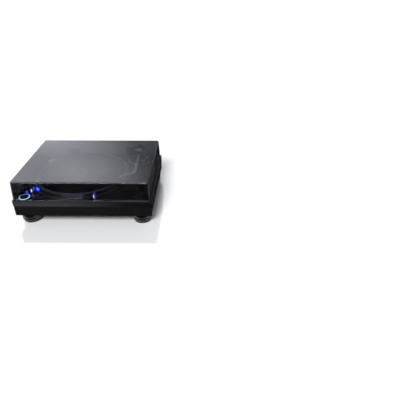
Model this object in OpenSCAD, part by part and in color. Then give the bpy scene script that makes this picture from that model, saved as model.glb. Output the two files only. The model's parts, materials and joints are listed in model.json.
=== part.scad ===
// Direct-drive turntable for disc jockeys, with a hinged dust cover and an S-shaped tonearm.
// Sizes are in millimetres. The origin is on the floor under the middle of the plinth,
// with +X to the right, +Y to the rear and +Z up. Headings are degrees from +X, seen from above.

/* [Plinth] */
// Width of the plinth, side to side
plinth_w = 453; // [446:1:470]
// Depth of the plinth, front to rear
plinth_d = 353; // [350:1:370]
// Height of the lower base
base_h = 36.5; // [34:0.5:42]
// Height of the top chassis
chassis_h = 19.5; // [18.5:0.5:24]
// Corner radius of the plinth, seen from above
corner_r = 10; // [6:1:14]
// Floor of the pockets in the lower base
base_floor = 4; // [3:0.5:6]
// Wall of the top chassis
chassis_wall = 6; // [5:0.5:8]
// Thickness of the deck plate
deck_t = 5; // [4.5:0.5:6]
// How far the base stands back under the chassis
base_setback = 1; // [0.5:0.25:2]
// Draft of the base's sides over their height
base_draft = 1.5; // [0.5:0.25:3]
// Draft of the chassis's sides over their height
chassis_draft = 0.6; // [0.3:0.1:1]
// Chamfer round the deck
deck_chamfer = 1.5; // [0.5:0.25:2.5]
// Chamfer of the base where it meets the chassis
seam_chamfer = 0.6; // [0.3:0.1:1]

/* [Feet] */
// Height of a foot under the base
foot_h = 38; // [32:1:44]
// Radius of a foot at its widest
foot_r = 34.5; // [30:0.5:36]
// Radius of a foot's sole
sole_r = 27; // [22:0.5:28]
// From the plinth's side to a foot's centre
foot_from_side = 38.5; // [38.5:0.5:46]
// From the plinth's front or rear to a foot's centre
foot_from_edge = 43.5; // [40:0.5:52]
// Radius of a foot's stud
stud_r = 5; // [4:0.5:6]
// Length of a foot's stud
stud_len = 20; // [16:1:22]

/* [Base screws] */
// Radius of a screw
screw_r = 2; // [1.5:0.25:2.5]
// Radius of a screw's head
screw_head_r = 4; // [3.5:0.25:4.5]
// Radius of a screw's boss
screw_boss_r = 6; // [5.5:0.25:7]
// From the plinth's edges to the corner screws
screw_inset = 13; // [12:0.5:15]
// How deep a screw is sunk in its boss
screw_sink = 20; // [14:1:24]

/* [Dust cover] */
// Wall of the cover
cover_wall = 3; // [2.5:0.25:4]
// From the plinth's side to the cover
cover_from_side = 4.2; // [3:0.2:5]
// From the plinth's front to the cover
cover_from_front = 3; // [2.5:0.25:4]
// From the plinth's rear to the cover
cover_from_rear = 8; // [7.5:0.25:9]
// How far the sides lean in
cover_lean_side = 2.5; // [2:0.5:8]
// How far the front leans in
cover_lean_front = 4; // [1:0.5:6]
// Corner radius of the cover, seen from above
cover_corner_r = 8; // [7:0.5:14]
// Radius of the edge round the cover's top
cover_edge_r = 4.5; // [4.5:0.25:7]
// Free height between the raised tonearm and the cover
cover_headroom = 1; // [0.75:0.25:4]
// Thickness of a rubber pad under the cover
pad_t = 1; // [0.5:0.25:1.5]

/* [Cover hinges] */
// From the middle of the plinth to a hinge
hinge_offset = 112; // [80:1:150]
// Width of a hinge
hinge_w = 40; // [34:1:50]
// Radius of a hinge's knuckles
knuckle_r = 3.6; // [3.2:0.1:3.6]
// Radius of a hinge pin
hinge_pin_r = 1.5; // [1:0.1:1.8]
// Thickness of a hinge leaf
leaf_t = 2; // [1.5:0.25:2.5]
// Height of a hinge leaf over its knuckle
leaf_h = 21; // [15:1:26]
// Depth of the hinge base in the chassis
hinge_sink = 10; // [7:0.5:12]

/* [Platter] */
// Free room between the plinth's left side and the platter
platter_from_left = 24; // [21:0.5:28]
// Least room between the platter and the plinth's front or rear
platter_from_edge = 9; // [8.5:0.5:12]
// How far the spindle lies in front of the plinth's middle
platter_forward = 2; // [0:0.5:4]
// How far the platter's edge slopes in to its top
rim_slope = 8; // [5:0.5:10]
// Height of the platter
platter_h = 12.5; // [11.5:0.5:16]
// Running gap between the platter and the deck
platter_gap = 2; // [1.5:0.25:3]
// Thickness of the platter's web
platter_web = 6; // [5:0.5:7]
// Width of the platter's rim
rim_w = 16; // [14:0.5:20]
// Thickness of the damper under the platter
damper_t = 3; // [2:0.25:4]
// How far the slipmat stays inside the platter's top edge
mat_inset = 10; // [7:0.5:16]
// Thickness of the slipmat
mat_t = 2; // [1:0.25:3]
// Radius of the spindle, for the hole in a record
spindle_r = 3.58; // [3.5:0.01:3.62]
// Height of the spindle over the slipmat
spindle_rise = 12.5; // [10:0.5:16]

/* [Motor] */
// Radius of the motor's well in the deck
well_r = 66; // [62:0.5:70]
// Depth of the motor's well
well_depth = 11; // [10.5:0.5:13]
// Wall of the motor's well
well_wall = 3; // [2:0.5:3.5]
// Radius of the spindle's journal
journal_r = 5; // [4:0.25:6]
// Radius of the bearing housing
bearing_r = 13.5; // [11:0.5:14]
// Depth of the bearing housing under the well
bearing_depth = 30; // [24:1:34]
// Outer radius of the rotor magnet
magnet_r = 57; // [54:0.5:59]
// Width of the rotor magnet
magnet_w = 10; // [6:0.5:10]
// Number of stator coils
coil_count = 9; // [6:3:9]
// Outer radius of a coil
coil_r = 10; // [7:0.5:11]
// Radius of the ring of coils
coil_ring_r = 34; // [32:0.5:35]
// Thickness of the circuit boards
board_t = 1.6; // [1.2:0.2:2]

/* [Buttons] */
// From the plinth's left side to the start button
start_from_left = 34.5; // [32:0.5:38]
// From the plinth's front to the start button
start_from_front = 27.5; // [27:0.5:32]
// Radius of the start button
start_r = 14.6; // [12:0.2:15]
// Width of the lit ring round the start button
start_ring_w = 2.5; // [1.5:0.25:3]
// From the plinth's left side to the first speed button
speed_from_left = 67.5; // [66:0.5:72]
// Distance between the speed buttons
speed_pitch = 24; // [21:0.5:28]
// From the plinth's front to the speed buttons
speed_from_front = 18.5; // [16:0.5:20]
// Width of a speed button
speed_w = 18; // [14:0.5:19]
// Depth of a speed button
speed_d = 9; // [7:0.5:10]
// Radius of the tempo and reset buttons
tempo_r = 4.5; // [3.5:0.25:5]
// Height of a button over the deck
button_rise = 2.5; // [2:0.25:3]

/* [Strobe tower and power knob] */
// Free distance between the start button's ring and the tower
tower_clear = 2; // [1:0.1:4]
// Free distance between the platter and the tower
tower_gap = 5.3; // [4:0.25:7]
// Radius of the tower
tower_r = 19; // [16:0.5:20]
// Height of the tower over the deck
tower_h = 17; // [15:0.5:19]
// Width of the strobe lens
lens_w = 17; // [10:0.5:20]
// Height of the strobe lens
lens_h = 10; // [6:0.5:11]
// Radius of the power knob
power_r = 14; // [11:0.5:15]
// Height of the power knob
power_h = 9; // [6:0.5:11]

/* [Stylus light] */
// Heading from the spindle to the stylus light
light_heading = -63; // [-70:0.5:-60]
// From the platter's edge to the light's middle
light_gap = 10; // [9.5:0.5:11]
// Radius of the light's post
light_r = 4; // [3.5:0.25:4.5]
// Height of the raised light over the deck
light_rise = 25; // [20:0.5:28]
// How far the light is pushed down
light_travel = 22; // [15:0.5:22]

/* [Pitch fader] */
// From the plinth's right side to the fader
fader_from_right = 36.5; // [34:0.5:40]
// From the plinth's front to the middle of the fader
fader_from_front = 78.5; // [76:0.5:86]
// Way of the fader from its middle to either end
fader_travel = 50; // [40:1:52]
// Width of the fader's plate
fader_plate_w = 30; // [26:0.5:34]
// Thickness of the fader's plate
fader_plate_t = 1.5; // [1:0.25:2]
// Width of the fader's slot
fader_slot_w = 5; // [4:0.25:6]
// Width of the fader's knob
fader_knob_w = 22; // [16:0.5:24]
// Length of the fader's knob along the slot
fader_knob_l = 15; // [12:0.5:18]
// Height of the fader's knob
fader_knob_h = 12; // [8:0.5:14]

/* [Adaptor for large-hole records] */
// Heading from the spindle to the adaptor
adaptor_heading = 140.1; // [138:0.5:143]
// Free distance between the platter and the adaptor
adaptor_gap = 5.3; // [4:0.25:7]
// Radius of the adaptor
adaptor_r = 19; // [18.5:0.1:19.5]
// Height of the adaptor
adaptor_h = 10; // [7:0.5:12]
// Depth of the adaptor's recess in the deck
adaptor_sink = 3; // [2:0.25:3.5]

/* [Tonearm] */
// From the plinth's right side to the arm's pivot
pivot_from_right = 74.8; // [73:0.2:78]
// From the plinth's rear edge to the arm's pivot
pivot_from_rear = 76.5; // [75:0.1:82]
// Free room between the platter and the arm base
arm_gap = 6; // [4:0.5:8]
// How far the stylus reaches past the spindle
arm_overhang = 15; // [12:0.5:18]
// Heading from the pivot to the stylus at rest
arm_heading = 254.6; // [253:0.2:257]
// Offset angle of the headshell
arm_offset = 22; // [20:0.5:24]
// Angle between the arm's main tube and the line from pivot to stylus
tube_splay = 17.4; // [16:0.2:19]
// Steepest angle of the tube between its bends
tube_cross = 42; // [38:0.5:43]
// Radius of the tube's first bend
bend_1_r = 36; // [34:1:46]
// Radius of the tube's second bend
bend_2_r = 36; // [34:1:46]
// Radius of the arm tube
tube_r = 5; // [4:0.25:5]
// Straight length from the last bend to the stylus
head_straight = 54; // [53:0.5:60]
// Height of the arm's pivot over the slipmat
arm_over_mat = 21.5; // [19:0.5:24]
// Height of the arm's pivot over its carriage
pivot_over_plate = 18; // [17:0.5:19]
// How far the carriage can be raised
arm_rise = 6; // [4:0.5:6]
// How far the arm swings from its rest to the inner grooves
arm_sweep = 33; // [30:0.5:34]

/* [Arm base] */
// Radius of the arm base
arm_base_r = 43; // [40:0.5:45]
// Radius of the carriage's plunger
plunger_r = 30.9; // [29:0.1:32]
// Radius of the height ring
height_ring_r = 41.5; // [39:0.5:43]
// Height of the height ring
height_ring_h = 10; // [7:0.5:11]
// Number of grip notches on the height ring
height_notches = 36; // [24:6:48]
// Radius of the carriage's plate
plate_r = 37; // [36:0.5:39]
// Thickness of the carriage's plate
plate_t = 4.4; // [3.5:0.2:5]
// From the pivot to the arm rest
rest_distance = 62; // [58:0.5:66]
// Radius of the anti-skate knob
skate_r = 8; // [6:0.5:8.5]
// Length of the cue lever
cue_len = 24; // [18:0.5:25]
// How far the lift bar rises
lift_rise = 2.2; // [1:0.1:2.2]
// Length of the arm lock's lever
lock_len = 18; // [12:0.5:19]

/* [Gimbal and counterweight] */
// Inner radius of the gimbal ring
gimbal_inner_r = 10.2; // [10:0.1:10.6]
// Wall of the gimbal ring
gimbal_wall = 2.3; // [2:0.1:2.6]
// Inner half width of the gimbal arch
arch_inner = 17; // [16.5:0.5:18]
// Width of the arch's legs
arch_leg = 5; // [4:0.25:5]
// Thickness of the arch's bridge
arch_bridge = 3.5; // [3:0.25:5]
// Radius of the arm's rear shaft
shaft_r = 4; // [3.5:0.25:4.5]
// Length of the rear shaft behind the pivot
shaft_len = 58; // [57.5:0.5:60]
// Radius of the counterweight
weight_r = 14.5; // [12:0.5:15]
// Length of the counterweight
weight_len = 24; // [18:0.5:25]
// From the pivot to the middle of the counterweight
weight_back = 40; // [39:0.5:41]
// Length of the tracking force dial
dial_len = 5; // [4:0.5:6]

/* [Rear sockets] */
// From the middle of the plinth to the jack panel
jack_offset = 100; // [70:1:120]
// Width of the jack panel
jack_panel_w = 78; // [70:1:90]
// Height of the jack panel
jack_panel_h = 24; // [22:0.5:25]
// Depth of the recess round the jacks
jack_sink = 14; // [13:0.5:16]
// Radius of a phono jack's barrel
jack_r = 4.15; // [4:0.05:4.2]
// Distance between the phono jacks
jack_pitch = 20; // [16:0.5:24]
// From the middle of the plinth to the power inlet
inlet_offset = 120; // [100:1:150]
// Width of the power inlet
inlet_w = 28; // [26:0.5:30]
// Height of the power inlet
inlet_h = 20; // [18:0.5:22]

/* [Boards inside] */
// Length of the main board
main_board_l = 120; // [90:1:130]
// Depth of the main board
main_board_d = 70; // [60:1:80]
// Length of the power supply
supply_l = 90; // [70:1:100]
// Depth of the power supply
supply_d = 60; // [50:1:70]
// Height of the power supply
supply_h = 26; // [20:1:28]

/* [Clearances] */
// Radial clearance of a running fit
run_gap = 0.05; // [0.02:0.01:0.08]
// Free gap between pieces that move past each other
gap = 0.3; // [0.25:0.05:0.4]
// Gap round a piece that is set in an opening
seat_gap = 0.2; // [0.1:0.05:0.25]

/* [Hidden] */
$fn = 64;
// A cut runs this far past the face that it opens
past = 1;
corner_steps = 6;

// Levels from the floor up
chassis_z = foot_h + base_h;
deck_z = chassis_z + chassis_h;
deck_under = deck_z - deck_t;
well_floor = deck_z - well_depth;
platter_z = deck_z + platter_gap;
platter_top = platter_z + platter_h;
web_under = platter_top - platter_web;
mat_top = platter_top + mat_t;
pivot_z = mat_top + arm_over_mat;
plate_top = pivot_z - pivot_over_plate;
plate_under = plate_top - plate_t;
height_ring_z = plate_under - gap - height_ring_h;
arm_base_h = height_ring_z - gap - deck_z;
gimbal_r = gimbal_inner_r + gimbal_wall;
arch_under = pivot_z + gimbal_r + 1;
arch_top = arch_under + arch_bridge;
cover_under = arch_top + arm_rise + cover_headroom;
cover_top = cover_under + cover_wall;
cover_foot = deck_z + seat_gap + pad_t;

// Outlines seen from above
base_w = plinth_w - 2*base_setback;
base_d = plinth_d - 2*base_setback;
base_rear = base_d/2 - base_draft;
cover_half = plinth_w/2 - cover_from_side;
cover_front = -plinth_d/2 + cover_from_front;
cover_rear = plinth_d/2 - cover_from_rear;

// Platter: as large as the room beside the arm base and between front and rear allows
function polar(r, heading) = [r*cos(heading), r*sin(heading)];
arm_reach = arm_base_r + arm_gap;
pivot_behind = plinth_d/2 - pivot_from_rear + platter_forward;
room_w = plinth_w - platter_from_left - pivot_from_right;
room_d = plinth_d/2 - platter_forward - platter_from_edge;
beside_arm_r = (pow(room_w, 2) + pow(pivot_behind, 2) - pow(arm_reach, 2))/(2*(room_w + arm_reach));
platter_r = min(beside_arm_r, room_d);
platter_top_r = platter_r - rim_slope;
rim_inner_r = platter_r - rim_w;
mat_r = platter_top_r - mat_inset;
arm_mount = platter_r + arm_reach;
arm_bearing = asin(pivot_behind/arm_mount);
arm_length = arm_mount + arm_overhang;
collar_r = spindle_r + 1;

// Places on the deck
pivot_at = [plinth_w/2 - pivot_from_right, plinth_d/2 - pivot_from_rear];
platter_at = pivot_at - polar(arm_mount, arm_bearing);
start_at = [start_from_left - plinth_w/2, start_from_front - plinth_d/2];
speed_33_at = [speed_from_left - plinth_w/2, speed_from_front - plinth_d/2];
speed_45_at = speed_33_at + [speed_pitch, 0];
light_at = platter_at + polar(platter_r + light_gap, light_heading);
fader_at = [plinth_w/2 - fader_from_right, fader_from_front - plinth_d/2];
tempo_x = fader_at.x - fader_plate_w/2 - tempo_r - 3;
reset_at = [tempo_x, fader_at.y];
tempo_at = [tempo_x, fader_at.y - fader_travel];
adaptor_at = platter_at + polar(platter_r + adaptor_gap + adaptor_r, adaptor_heading);
foot_x = plinth_w/2 - foot_from_side;
foot_y = plinth_d/2 - foot_from_edge;

// Cover hinges: the axis runs just behind the cover's rear wall
hinge_y = cover_rear + gap + knuckle_r;
hinge_z = deck_z + knuckle_r + 0.9;
knuckle_half = hinge_w/5;
hinge_base_w = hinge_w + 4;

// Start button and its ring
start_bore = start_r + gap;
start_ring_r = start_bore + start_ring_w;
start_ring_sink = 2;

// Dished and chamfered button tops
dish = 0.5;
start_dish_r = 90;
speed_dish_r = 30;
button_chamfer = 0.6;

// Strobe tower: as near to the platter and to the start button's ring as its clearances allow
tower_reach = platter_r + tower_gap + tower_r;
start_reach = start_ring_r + tower_clear + tower_r;
start_way = start_at - platter_at;
start_far = norm(start_way);
tower_cos = (pow(tower_reach, 2) + pow(start_far, 2) - pow(start_reach, 2))/(2*tower_reach*start_far);
tower_heading = 360 + atan2(start_way.y, start_way.x) - acos(min(1, tower_cos));
tower_at = platter_at + polar(tower_reach, tower_heading);

// Pitch fader
fader_slot_l = 2*fader_travel + 12;
fader_plate_l = fader_slot_l + 20;
fader_stem_w = fader_slot_w - 2*gap;
fader_track_h = 10;

// Tonearm: two straights that make the bends end at the stylus
function bend_shift(r, from, to) =
    let (turn = to > from ? 1 : -1)
    turn*r*[sin(to) - sin(from), cos(from) - cos(to)];
main_way = polar(1, tube_splay);
cross_way = polar(1, -tube_cross);
head_way = polar(1, -arm_offset);
bend_1 = bend_shift(bend_1_r, tube_splay, -tube_cross);
bend_2 = bend_shift(bend_2_r, -tube_cross, -arm_offset);
straights = [arm_length, 0] - bend_1 - bend_2 - head_straight*head_way;
main_len = cross(straights, cross_way)/cross(main_way, cross_way);
cross_len = cross(main_way, straights)/cross(main_way, cross_way);
main_heading = arm_heading + tube_splay;
arch_heading = main_heading - arm_sweep/2 - 90;
tube_end = -44;
collet_front = tube_end + 8;
collet_r = tube_r + 2;
shell_rear = collet_front + gap;
shell_front = 10;
shell_half = 9;
shell_neck = 6.5;
tube_sides = 20;
yoke_r = 8.2;
yaw_pin_r = 1.5;
tilt_pin_r = 1.2;
yoke_half = 11;
arch_round = 5;
cap_r = 10.5;
cap_t = 2.5;
rest_floor = -tube_r - 2;
rest_tongue_w = 16;
rest_pad_r = 10.5;
clip_pin = [tube_r + 4, 2];
clip_pin_r = 1;
clip_half = 4;
lift_r = 25;
lift_bar_w = 4;
lift_bar_h = 2.5;
lift_bar_top = pivot_z - tube_r - lift_rise - 2*gap;
lift_rod_at = polar(lift_r, main_heading + 18);
lift_rod_r = 1.8;
skate_at = [32, -2];
skate_shaft_r = 2.5;
knob_notches = 24;
cue_at = [24, -28];
cue_pin_r = 1.5;
cue_axis = 5;
cue_half = 2.5;
lock_at = pivot_at + polar(arm_base_r + 7, 30);
lock_pin_r = 2.5;

// Rear sockets
jack_level = base_h/2;
jack_face = base_rear - jack_sink;
ground_inset = 12;
ground_at = jack_panel_w/2 - ground_inset;
ground_r = 2;
jack_inset = 14;
jack_first = jack_inset - jack_panel_w/2;
jack_step = 4;
jack_tail = 8;
jack_panel_t = 2;
inlet_len = 22;

// Points of a quarter circle
function corner_arc(x, y, r, from) =
    [for (i = [0:corner_steps]) [x, y] + polar(r, from + 90*i/corner_steps)];

// Points of a rectangle with round corners
function rounded(w, d, r) = concat(
    corner_arc(w/2 - r, d/2 - r, r, 0),
    corner_arc(r - w/2, d/2 - r, r, 90),
    corner_arc(r - w/2, r - d/2, r, 180),
    corner_arc(w/2 - r, r - d/2, r, 270));

// Points of an arch on two legs, with round shoulders
function arch(half, top, r) = concat(
    [[half, 0]],
    corner_arc(half - r, top - r, r, 0),
    corner_arc(r - half, top - r, r, 90),
    [[-half, 0]]);

module slab(w, d, r, h)
    linear_extrude(h) polygon(rounded(w, d, r));

module at(place, z = 0)
    translate([place.x, place.y, z]) children();

// Ring or tube that stands on z = 0
module ring(outer, inner, h)
    difference() {
        cylinder(r = outer, h = h);
        translate([0, 0, -past]) cylinder(r = inner, h = h + 2*past);
    }

// Block with round corners, sides that lean in and a chamfer round its top
module leaning_block(w, d, r, h, foot_in, top_in, chamfer) {
    module side(width, length)
        linear_extrude(length + 2*past, center = true)
            polygon([
                [foot_in - width/2, 0], [width/2 - foot_in, 0],
                [width/2 - top_in, h - chamfer], [width/2 - top_in - chamfer, h],
                [top_in + chamfer - width/2, h], [top_in - width/2, h - chamfer]
            ]);
    intersection() {
        translate([0, 0, -past]) slab(w + past, d + past, r, h + 2*past);
        rotate([90, 0, 0]) side(w, d);
        rotate([90, 0, 90]) side(d, w);
    }
}

// Solid through a stack of outlines that all have as many points
module loft(rings) {
    n = len(rings[0]);
    top = len(rings) - 1;
    sides = [for (k = [0:top - 1], i = [0:n - 1])
        let (a = k*n + i, b = k*n + (i + 1) % n)
        each [[a, b + n, b], [a, a + n, b + n]]];
    floor_face = [[for (i = [0:n - 1]) i]];
    roof_face = [[for (i = [n - 1:-1:0]) top*n + i]];
    polyhedron([for (r = rings) each r], concat(floor_face, sides, roof_face), convexity = 4);
}

module at_feet()
    for (sx = [-1, 1], sy = [-1, 1]) translate([sx*foot_x, sy*foot_y, 0]) children();

module at_screws() {
    x = plinth_w/2 - screw_inset;
    y = plinth_d/2 - screw_inset;
    for (place = [[x, y], [-x, y], [-x, -y], [x, -y], [x, 0], [-x, 0], [0, y], [0, -y]])
        at(place) children();
}

module at_hinges()
    for (s = [-1, 1]) translate([s*hinge_offset, hinge_y, hinge_z]) children();

module at_jacks()
    for (i = [0, 1]) translate([jack_offset + jack_first + i*jack_pitch, jack_face, foot_h + jack_level])
        rotate([-90, 0, 0]) children();

module at_ground()
    translate([jack_offset + ground_at, jack_face, foot_h + jack_level]) rotate([-90, 0, 0]) children();

// Cylinder along X
module axle(r, from, to)
    translate([from, 0, 0]) rotate([0, 90, 0]) cylinder(r = r, h = to - from);

// Solid turned about X, from points of radius and place along X
module turned(points)
    rotate([0, 90, 0]) rotate_extrude() polygon(points);

// Grip notches round a part of radius r, from z = 0 up
module grip(r, notch_r, count, h)
    for (i = [0:count - 1]) rotate(i*360/count) translate([r + notch_r/2, 0, 0]) cylinder(r = notch_r, h = h);

// Arm frame: +X from the pivot to the stylus, +Y away from the platter at rest
module arm_frame()
    at(pivot_at, pivot_z) rotate(arm_heading) children();

// Frame along the arm's main tube
module main_frame()
    arm_frame() rotate(tube_splay) children();

// Frame of the headshell: the origin over the stylus, +X to the front of the shell
module head_frame()
    arm_frame() translate([arm_length, 0, 0]) rotate(-arm_offset) children();

// Frame of the arm rest, on the main tube
module rest_frame()
    main_frame() translate([rest_distance, 0, 0]) children();

// Boards in the base, each in a pocket with room round it
pocket_room = 5;
board_from_left = 130;
board_from_front = 75;
board_at = [board_from_left - base_w/2, board_from_front - base_d/2];
board_level = 10;
board_margin = 6;
supply_from_left = 105;
supply_from_rear = 75;
fin_gap = 8;
supply_at = [supply_from_left - base_w/2, base_d/2 - supply_from_rear];
module at_standoffs()
    for (sx = [-1, 1], sy = [-1, 1])
        at(board_at + [sx*(main_board_l/2 - board_margin), sy*(main_board_d/2 - board_margin)]) children();

// Round button with a chamfer and a flange under the deck
module button(r, flange_r) {
    rotate_extrude() polygon([
        [0, -deck_t - gap - 2], [flange_r, -deck_t - gap - 2], [flange_r, -deck_t - gap],
        [r, -deck_t - gap], [r, button_rise - button_chamfer], [r - button_chamfer, button_rise],
        [0, button_rise]
    ]);
}

module speed_button() {
    difference() {
        translate([0, 0, -deck_t - gap - 1]) slab(speed_w, speed_d, 2, deck_t + gap + 1 + button_rise);
        translate([0, 0, button_rise + speed_dish_r - dish]) axle(speed_dish_r, -speed_w, speed_w);
    }
    translate([0, 0, -deck_t - gap - 2]) slab(speed_w + 4, speed_d + 4, 2, 2);
}

module foot_solid() {
    waist = foot_r - 1.5;
    top = foot_h - gap;
    groove_z = foot_h/2;
    rotate_extrude() polygon([
        [0, 0], [sole_r, 0], [sole_r + 2, 0.8], [waist - 1, 6], [waist, 14],
        [waist, groove_z - 1], [waist - 0.8, groove_z - 0.6], [waist - 0.8, groove_z + 0.6],
        [waist + 0.3, groove_z + 1], [foot_r, foot_h*0.7], [foot_r, top - 3], [foot_r - 2, top],
        [stud_r, top], [stud_r, foot_h + stud_len], [0, foot_h + stud_len]
    ]);
}

// Plinth

module top_chassis() color("#2b2c2e")
    difference() {
        union() {
            translate([0, 0, chassis_z]) difference() {
                leaning_block(plinth_w, plinth_d, corner_r, chassis_h, 0, chassis_draft, deck_chamfer);
                translate([0, 0, -past])
                    slab(plinth_w - 2*chassis_wall, plinth_d - 2*chassis_wall, corner_r - 2,
                         chassis_h - deck_t + past);
            }
            at_screws() translate([0, 0, chassis_z]) cylinder(r = screw_boss_r, h = chassis_h - deck_t/2);
            at(platter_at, well_floor - well_wall)
                cylinder(r = well_r + well_wall, h = well_depth + well_wall - deck_t/2);
        }
        at(platter_at, well_floor) cylinder(r = well_r, h = well_depth + past);
        at(platter_at, well_floor - well_wall - past)
            cylinder(r = bearing_r + seat_gap, h = well_wall + 2*past);
        at_screws() translate([0, 0, chassis_z - past]) cylinder(r = screw_r + run_gap, h = past + 12);
        at(start_at, deck_under - past) cylinder(r = start_bore, h = deck_t + 2*past);
        at(start_at, deck_z - start_ring_sink)
            cylinder(r = start_ring_r + seat_gap, h = start_ring_sink + past);
        for (place = [speed_33_at, speed_45_at])
            at(place, deck_under - past) slab(speed_w + 2*gap, speed_d + 2*gap, 2 + gap, deck_t + 2*past);
        for (place = [reset_at, tempo_at])
            at(place, deck_under - past) cylinder(r = tempo_r + gap, h = deck_t + 2*past);
        at(light_at, deck_under - past) cylinder(r = light_r + 2.5 + seat_gap, h = deck_t + 2*past);
        at(fader_at, deck_under - past) slab(fader_slot_w + 4, fader_slot_l + 4, 2, deck_t + 2*past);
        at(adaptor_at, deck_z - adaptor_sink) cylinder(r = adaptor_r + 2*gap, h = adaptor_sink + past);
        at(pivot_at, deck_under - past) cylinder(r = plunger_r + 2*gap, h = deck_t + 2*past);
        at(lock_at, deck_under - past) cylinder(r = lock_pin_r + run_gap, h = deck_t + 2*past);
        at_hinges()
            translate([-hinge_base_w/2 - seat_gap, -knuckle_r - seat_gap, deck_z - hinge_sink - hinge_z])
                cube([hinge_base_w + 2*seat_gap, plinth_d, hinge_sink + past]);
    }

module lower_base() color("#1b1b1c")
    translate([0, 0, foot_h]) difference() {
        leaning_block(base_w, base_d, corner_r, base_h, base_draft, 0, seam_chamfer);
        difference() {
            at(board_at, base_floor)
                slab(main_board_l + 2*pocket_room, main_board_d + 2*pocket_room, pocket_room, base_h);
            at_standoffs() cylinder(r = board_margin/2, h = board_level);
        }
        at(supply_at, base_floor)
            slab(supply_l + 2*pocket_room, supply_d + 2*pocket_room, pocket_room, base_h);
        at(platter_at, well_floor - bearing_depth - foot_h - pocket_room)
            cylinder(r = bearing_r + pocket_room, h = bearing_depth + base_h);
        at(light_at, base_floor) cylinder(r = light_r + pocket_room, h = base_h);
        at_feet() translate([0, 0, -past]) cylinder(r = stud_r + gap, h = stud_len + past + gap);
        at_screws() {
            translate([0, 0, -past]) cylinder(r = screw_r + gap, h = base_h + 2*past);
            translate([0, 0, -past]) cylinder(r = screw_head_r + gap, h = screw_sink + past);
        }
        translate([jack_offset - jack_panel_w/2, jack_face - jack_panel_t, jack_level - jack_panel_h/2])
            cube([jack_panel_w, plinth_d, jack_panel_h]);
        translate([jack_offset - jack_panel_w/2 + jack_step, jack_face - jack_tail - jack_step,
                   jack_level - jack_panel_h/2 + jack_step])
            cube([jack_panel_w - 2*jack_step, jack_tail + jack_step, base_h]);
        translate([-inlet_offset, supply_at.y, jack_level]) rotate([-90, 0, 0])
            linear_extrude(plinth_d) square([inlet_w + 2*seat_gap, inlet_h + 2*seat_gap], center = true);
    }

module base_screws() color("silver")
    at_screws() translate([0, 0, foot_h + screw_sink]) {
        cylinder(r = screw_r, h = base_h - screw_sink + 10);
        translate([0, 0, -3]) cylinder(r = screw_head_r, h = 3);
    }

// Motor

module bearing_housing() color("goldenrod")
    at(platter_at) difference() {
        union() {
            translate([0, 0, well_floor - bearing_depth]) cylinder(r = bearing_r, h = bearing_depth + 1);
            translate([0, 0, well_floor]) cylinder(r = bearing_r + 10, h = 3);
            translate([0, 0, well_floor]) cylinder(r = bearing_r - 1.5, h = well_depth + platter_gap);
        }
        translate([0, 0, well_floor - bearing_depth + 3])
            cylinder(r = journal_r + run_gap, h = bearing_depth + well_depth + platter_gap);
    }

module stator_board() color("darkgreen")
    at(platter_at, well_floor + 3) ring(magnet_r + 3, bearing_r - 1, board_t);

module stator_coils() color("#b87333")
    at(platter_at, well_floor + 3 + board_t)
        for (i = [0:coil_count - 1])
            rotate(i*360/coil_count) translate([coil_ring_r, 0, 0]) ring(coil_r, coil_r/3, 5);

module main_board() color("darkgreen")
    at(board_at, foot_h + board_level) {
        translate([-main_board_l/2, -main_board_d/2, 0]) cube([main_board_l, main_board_d, board_t]);
        for (x = [-1, 0, 1])
            translate([x*main_board_l/3.5 - 7, -8, board_t - 0.5]) cube([14, 14, 2.5]);
        translate([-main_board_l/2 + 14, main_board_d/2 - 12, board_t - 0.5]) cube([40, 7, 7]);
    }

module power_supply() color("#777a7c")
    at(supply_at, foot_h + base_floor) difference() {
        translate([-supply_l/2, -supply_d/2, 0]) cube([supply_l, supply_d, supply_h]);
        for (i = [-2:2])
            translate([i*supply_l/6 - fin_gap/2, -supply_d, supply_h - fin_gap])
                cube([fin_gap, 2*supply_d, fin_gap + past]);
    }

// Controls that stay in place

module start_ring() color("#9fdcf0")
    at(start_at, deck_z - start_ring_sink) ring(start_ring_r, start_bore, start_ring_sink + 1.2);

module strobe_housing() color("#1d1e20")
    at(tower_at, deck_z) difference() {
        rotate_extrude() polygon([
            [0, 0], [tower_r, 0], [tower_r, tower_h - 2], [tower_r - 2, tower_h], [0, tower_h]
        ]);
        rotate(tower_heading - 180) translate([tower_r*0.55, -lens_w/2, 3]) cube([tower_r, lens_w, lens_h]);
        translate([0, 0, tower_h - 8]) cylinder(r = 4 + run_gap, h = 8 + past);
    }

module strobe_lens() color("#c8f2ff")
    at(tower_at, deck_z) intersection() {
        cylinder(r = tower_r - 0.5, h = tower_h);
        rotate(tower_heading - 180) translate([tower_r*0.55 + seat_gap, seat_gap - lens_w/2, 3 + seat_gap])
            cube([tower_r, lens_w - 2*seat_gap, lens_h - 2*seat_gap]);
    }

module fader_plate() color("#141416")
    at(fader_at, deck_z) difference() {
        slab(fader_plate_w, fader_plate_l, 3, fader_plate_t);
        translate([0, 0, -past]) slab(fader_slot_w, fader_slot_l, 1, fader_plate_t + 2*past);
    }

module fader_track() color("#8d9092")
    at(fader_at, deck_under - fader_track_h) difference() {
        slab(fader_slot_w + 12, fader_slot_l + 14, 1, fader_track_h);
        translate([0, 0, 2]) slab(fader_slot_w, fader_slot_l, 1, fader_track_h);
    }

module light_sleeve() color("#1d1e20")
    at(light_at) difference() {
        union() {
            translate([0, 0, deck_z]) cylinder(r = light_r + 4, h = 1.5);
            translate([0, 0, deck_z - light_travel]) cylinder(r = light_r + 2.5, h = light_travel + 1);
        }
        translate([0, 0, deck_z - light_travel - past])
            cylinder(r = light_r + run_gap, h = light_travel + 3*past);
    }

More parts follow.
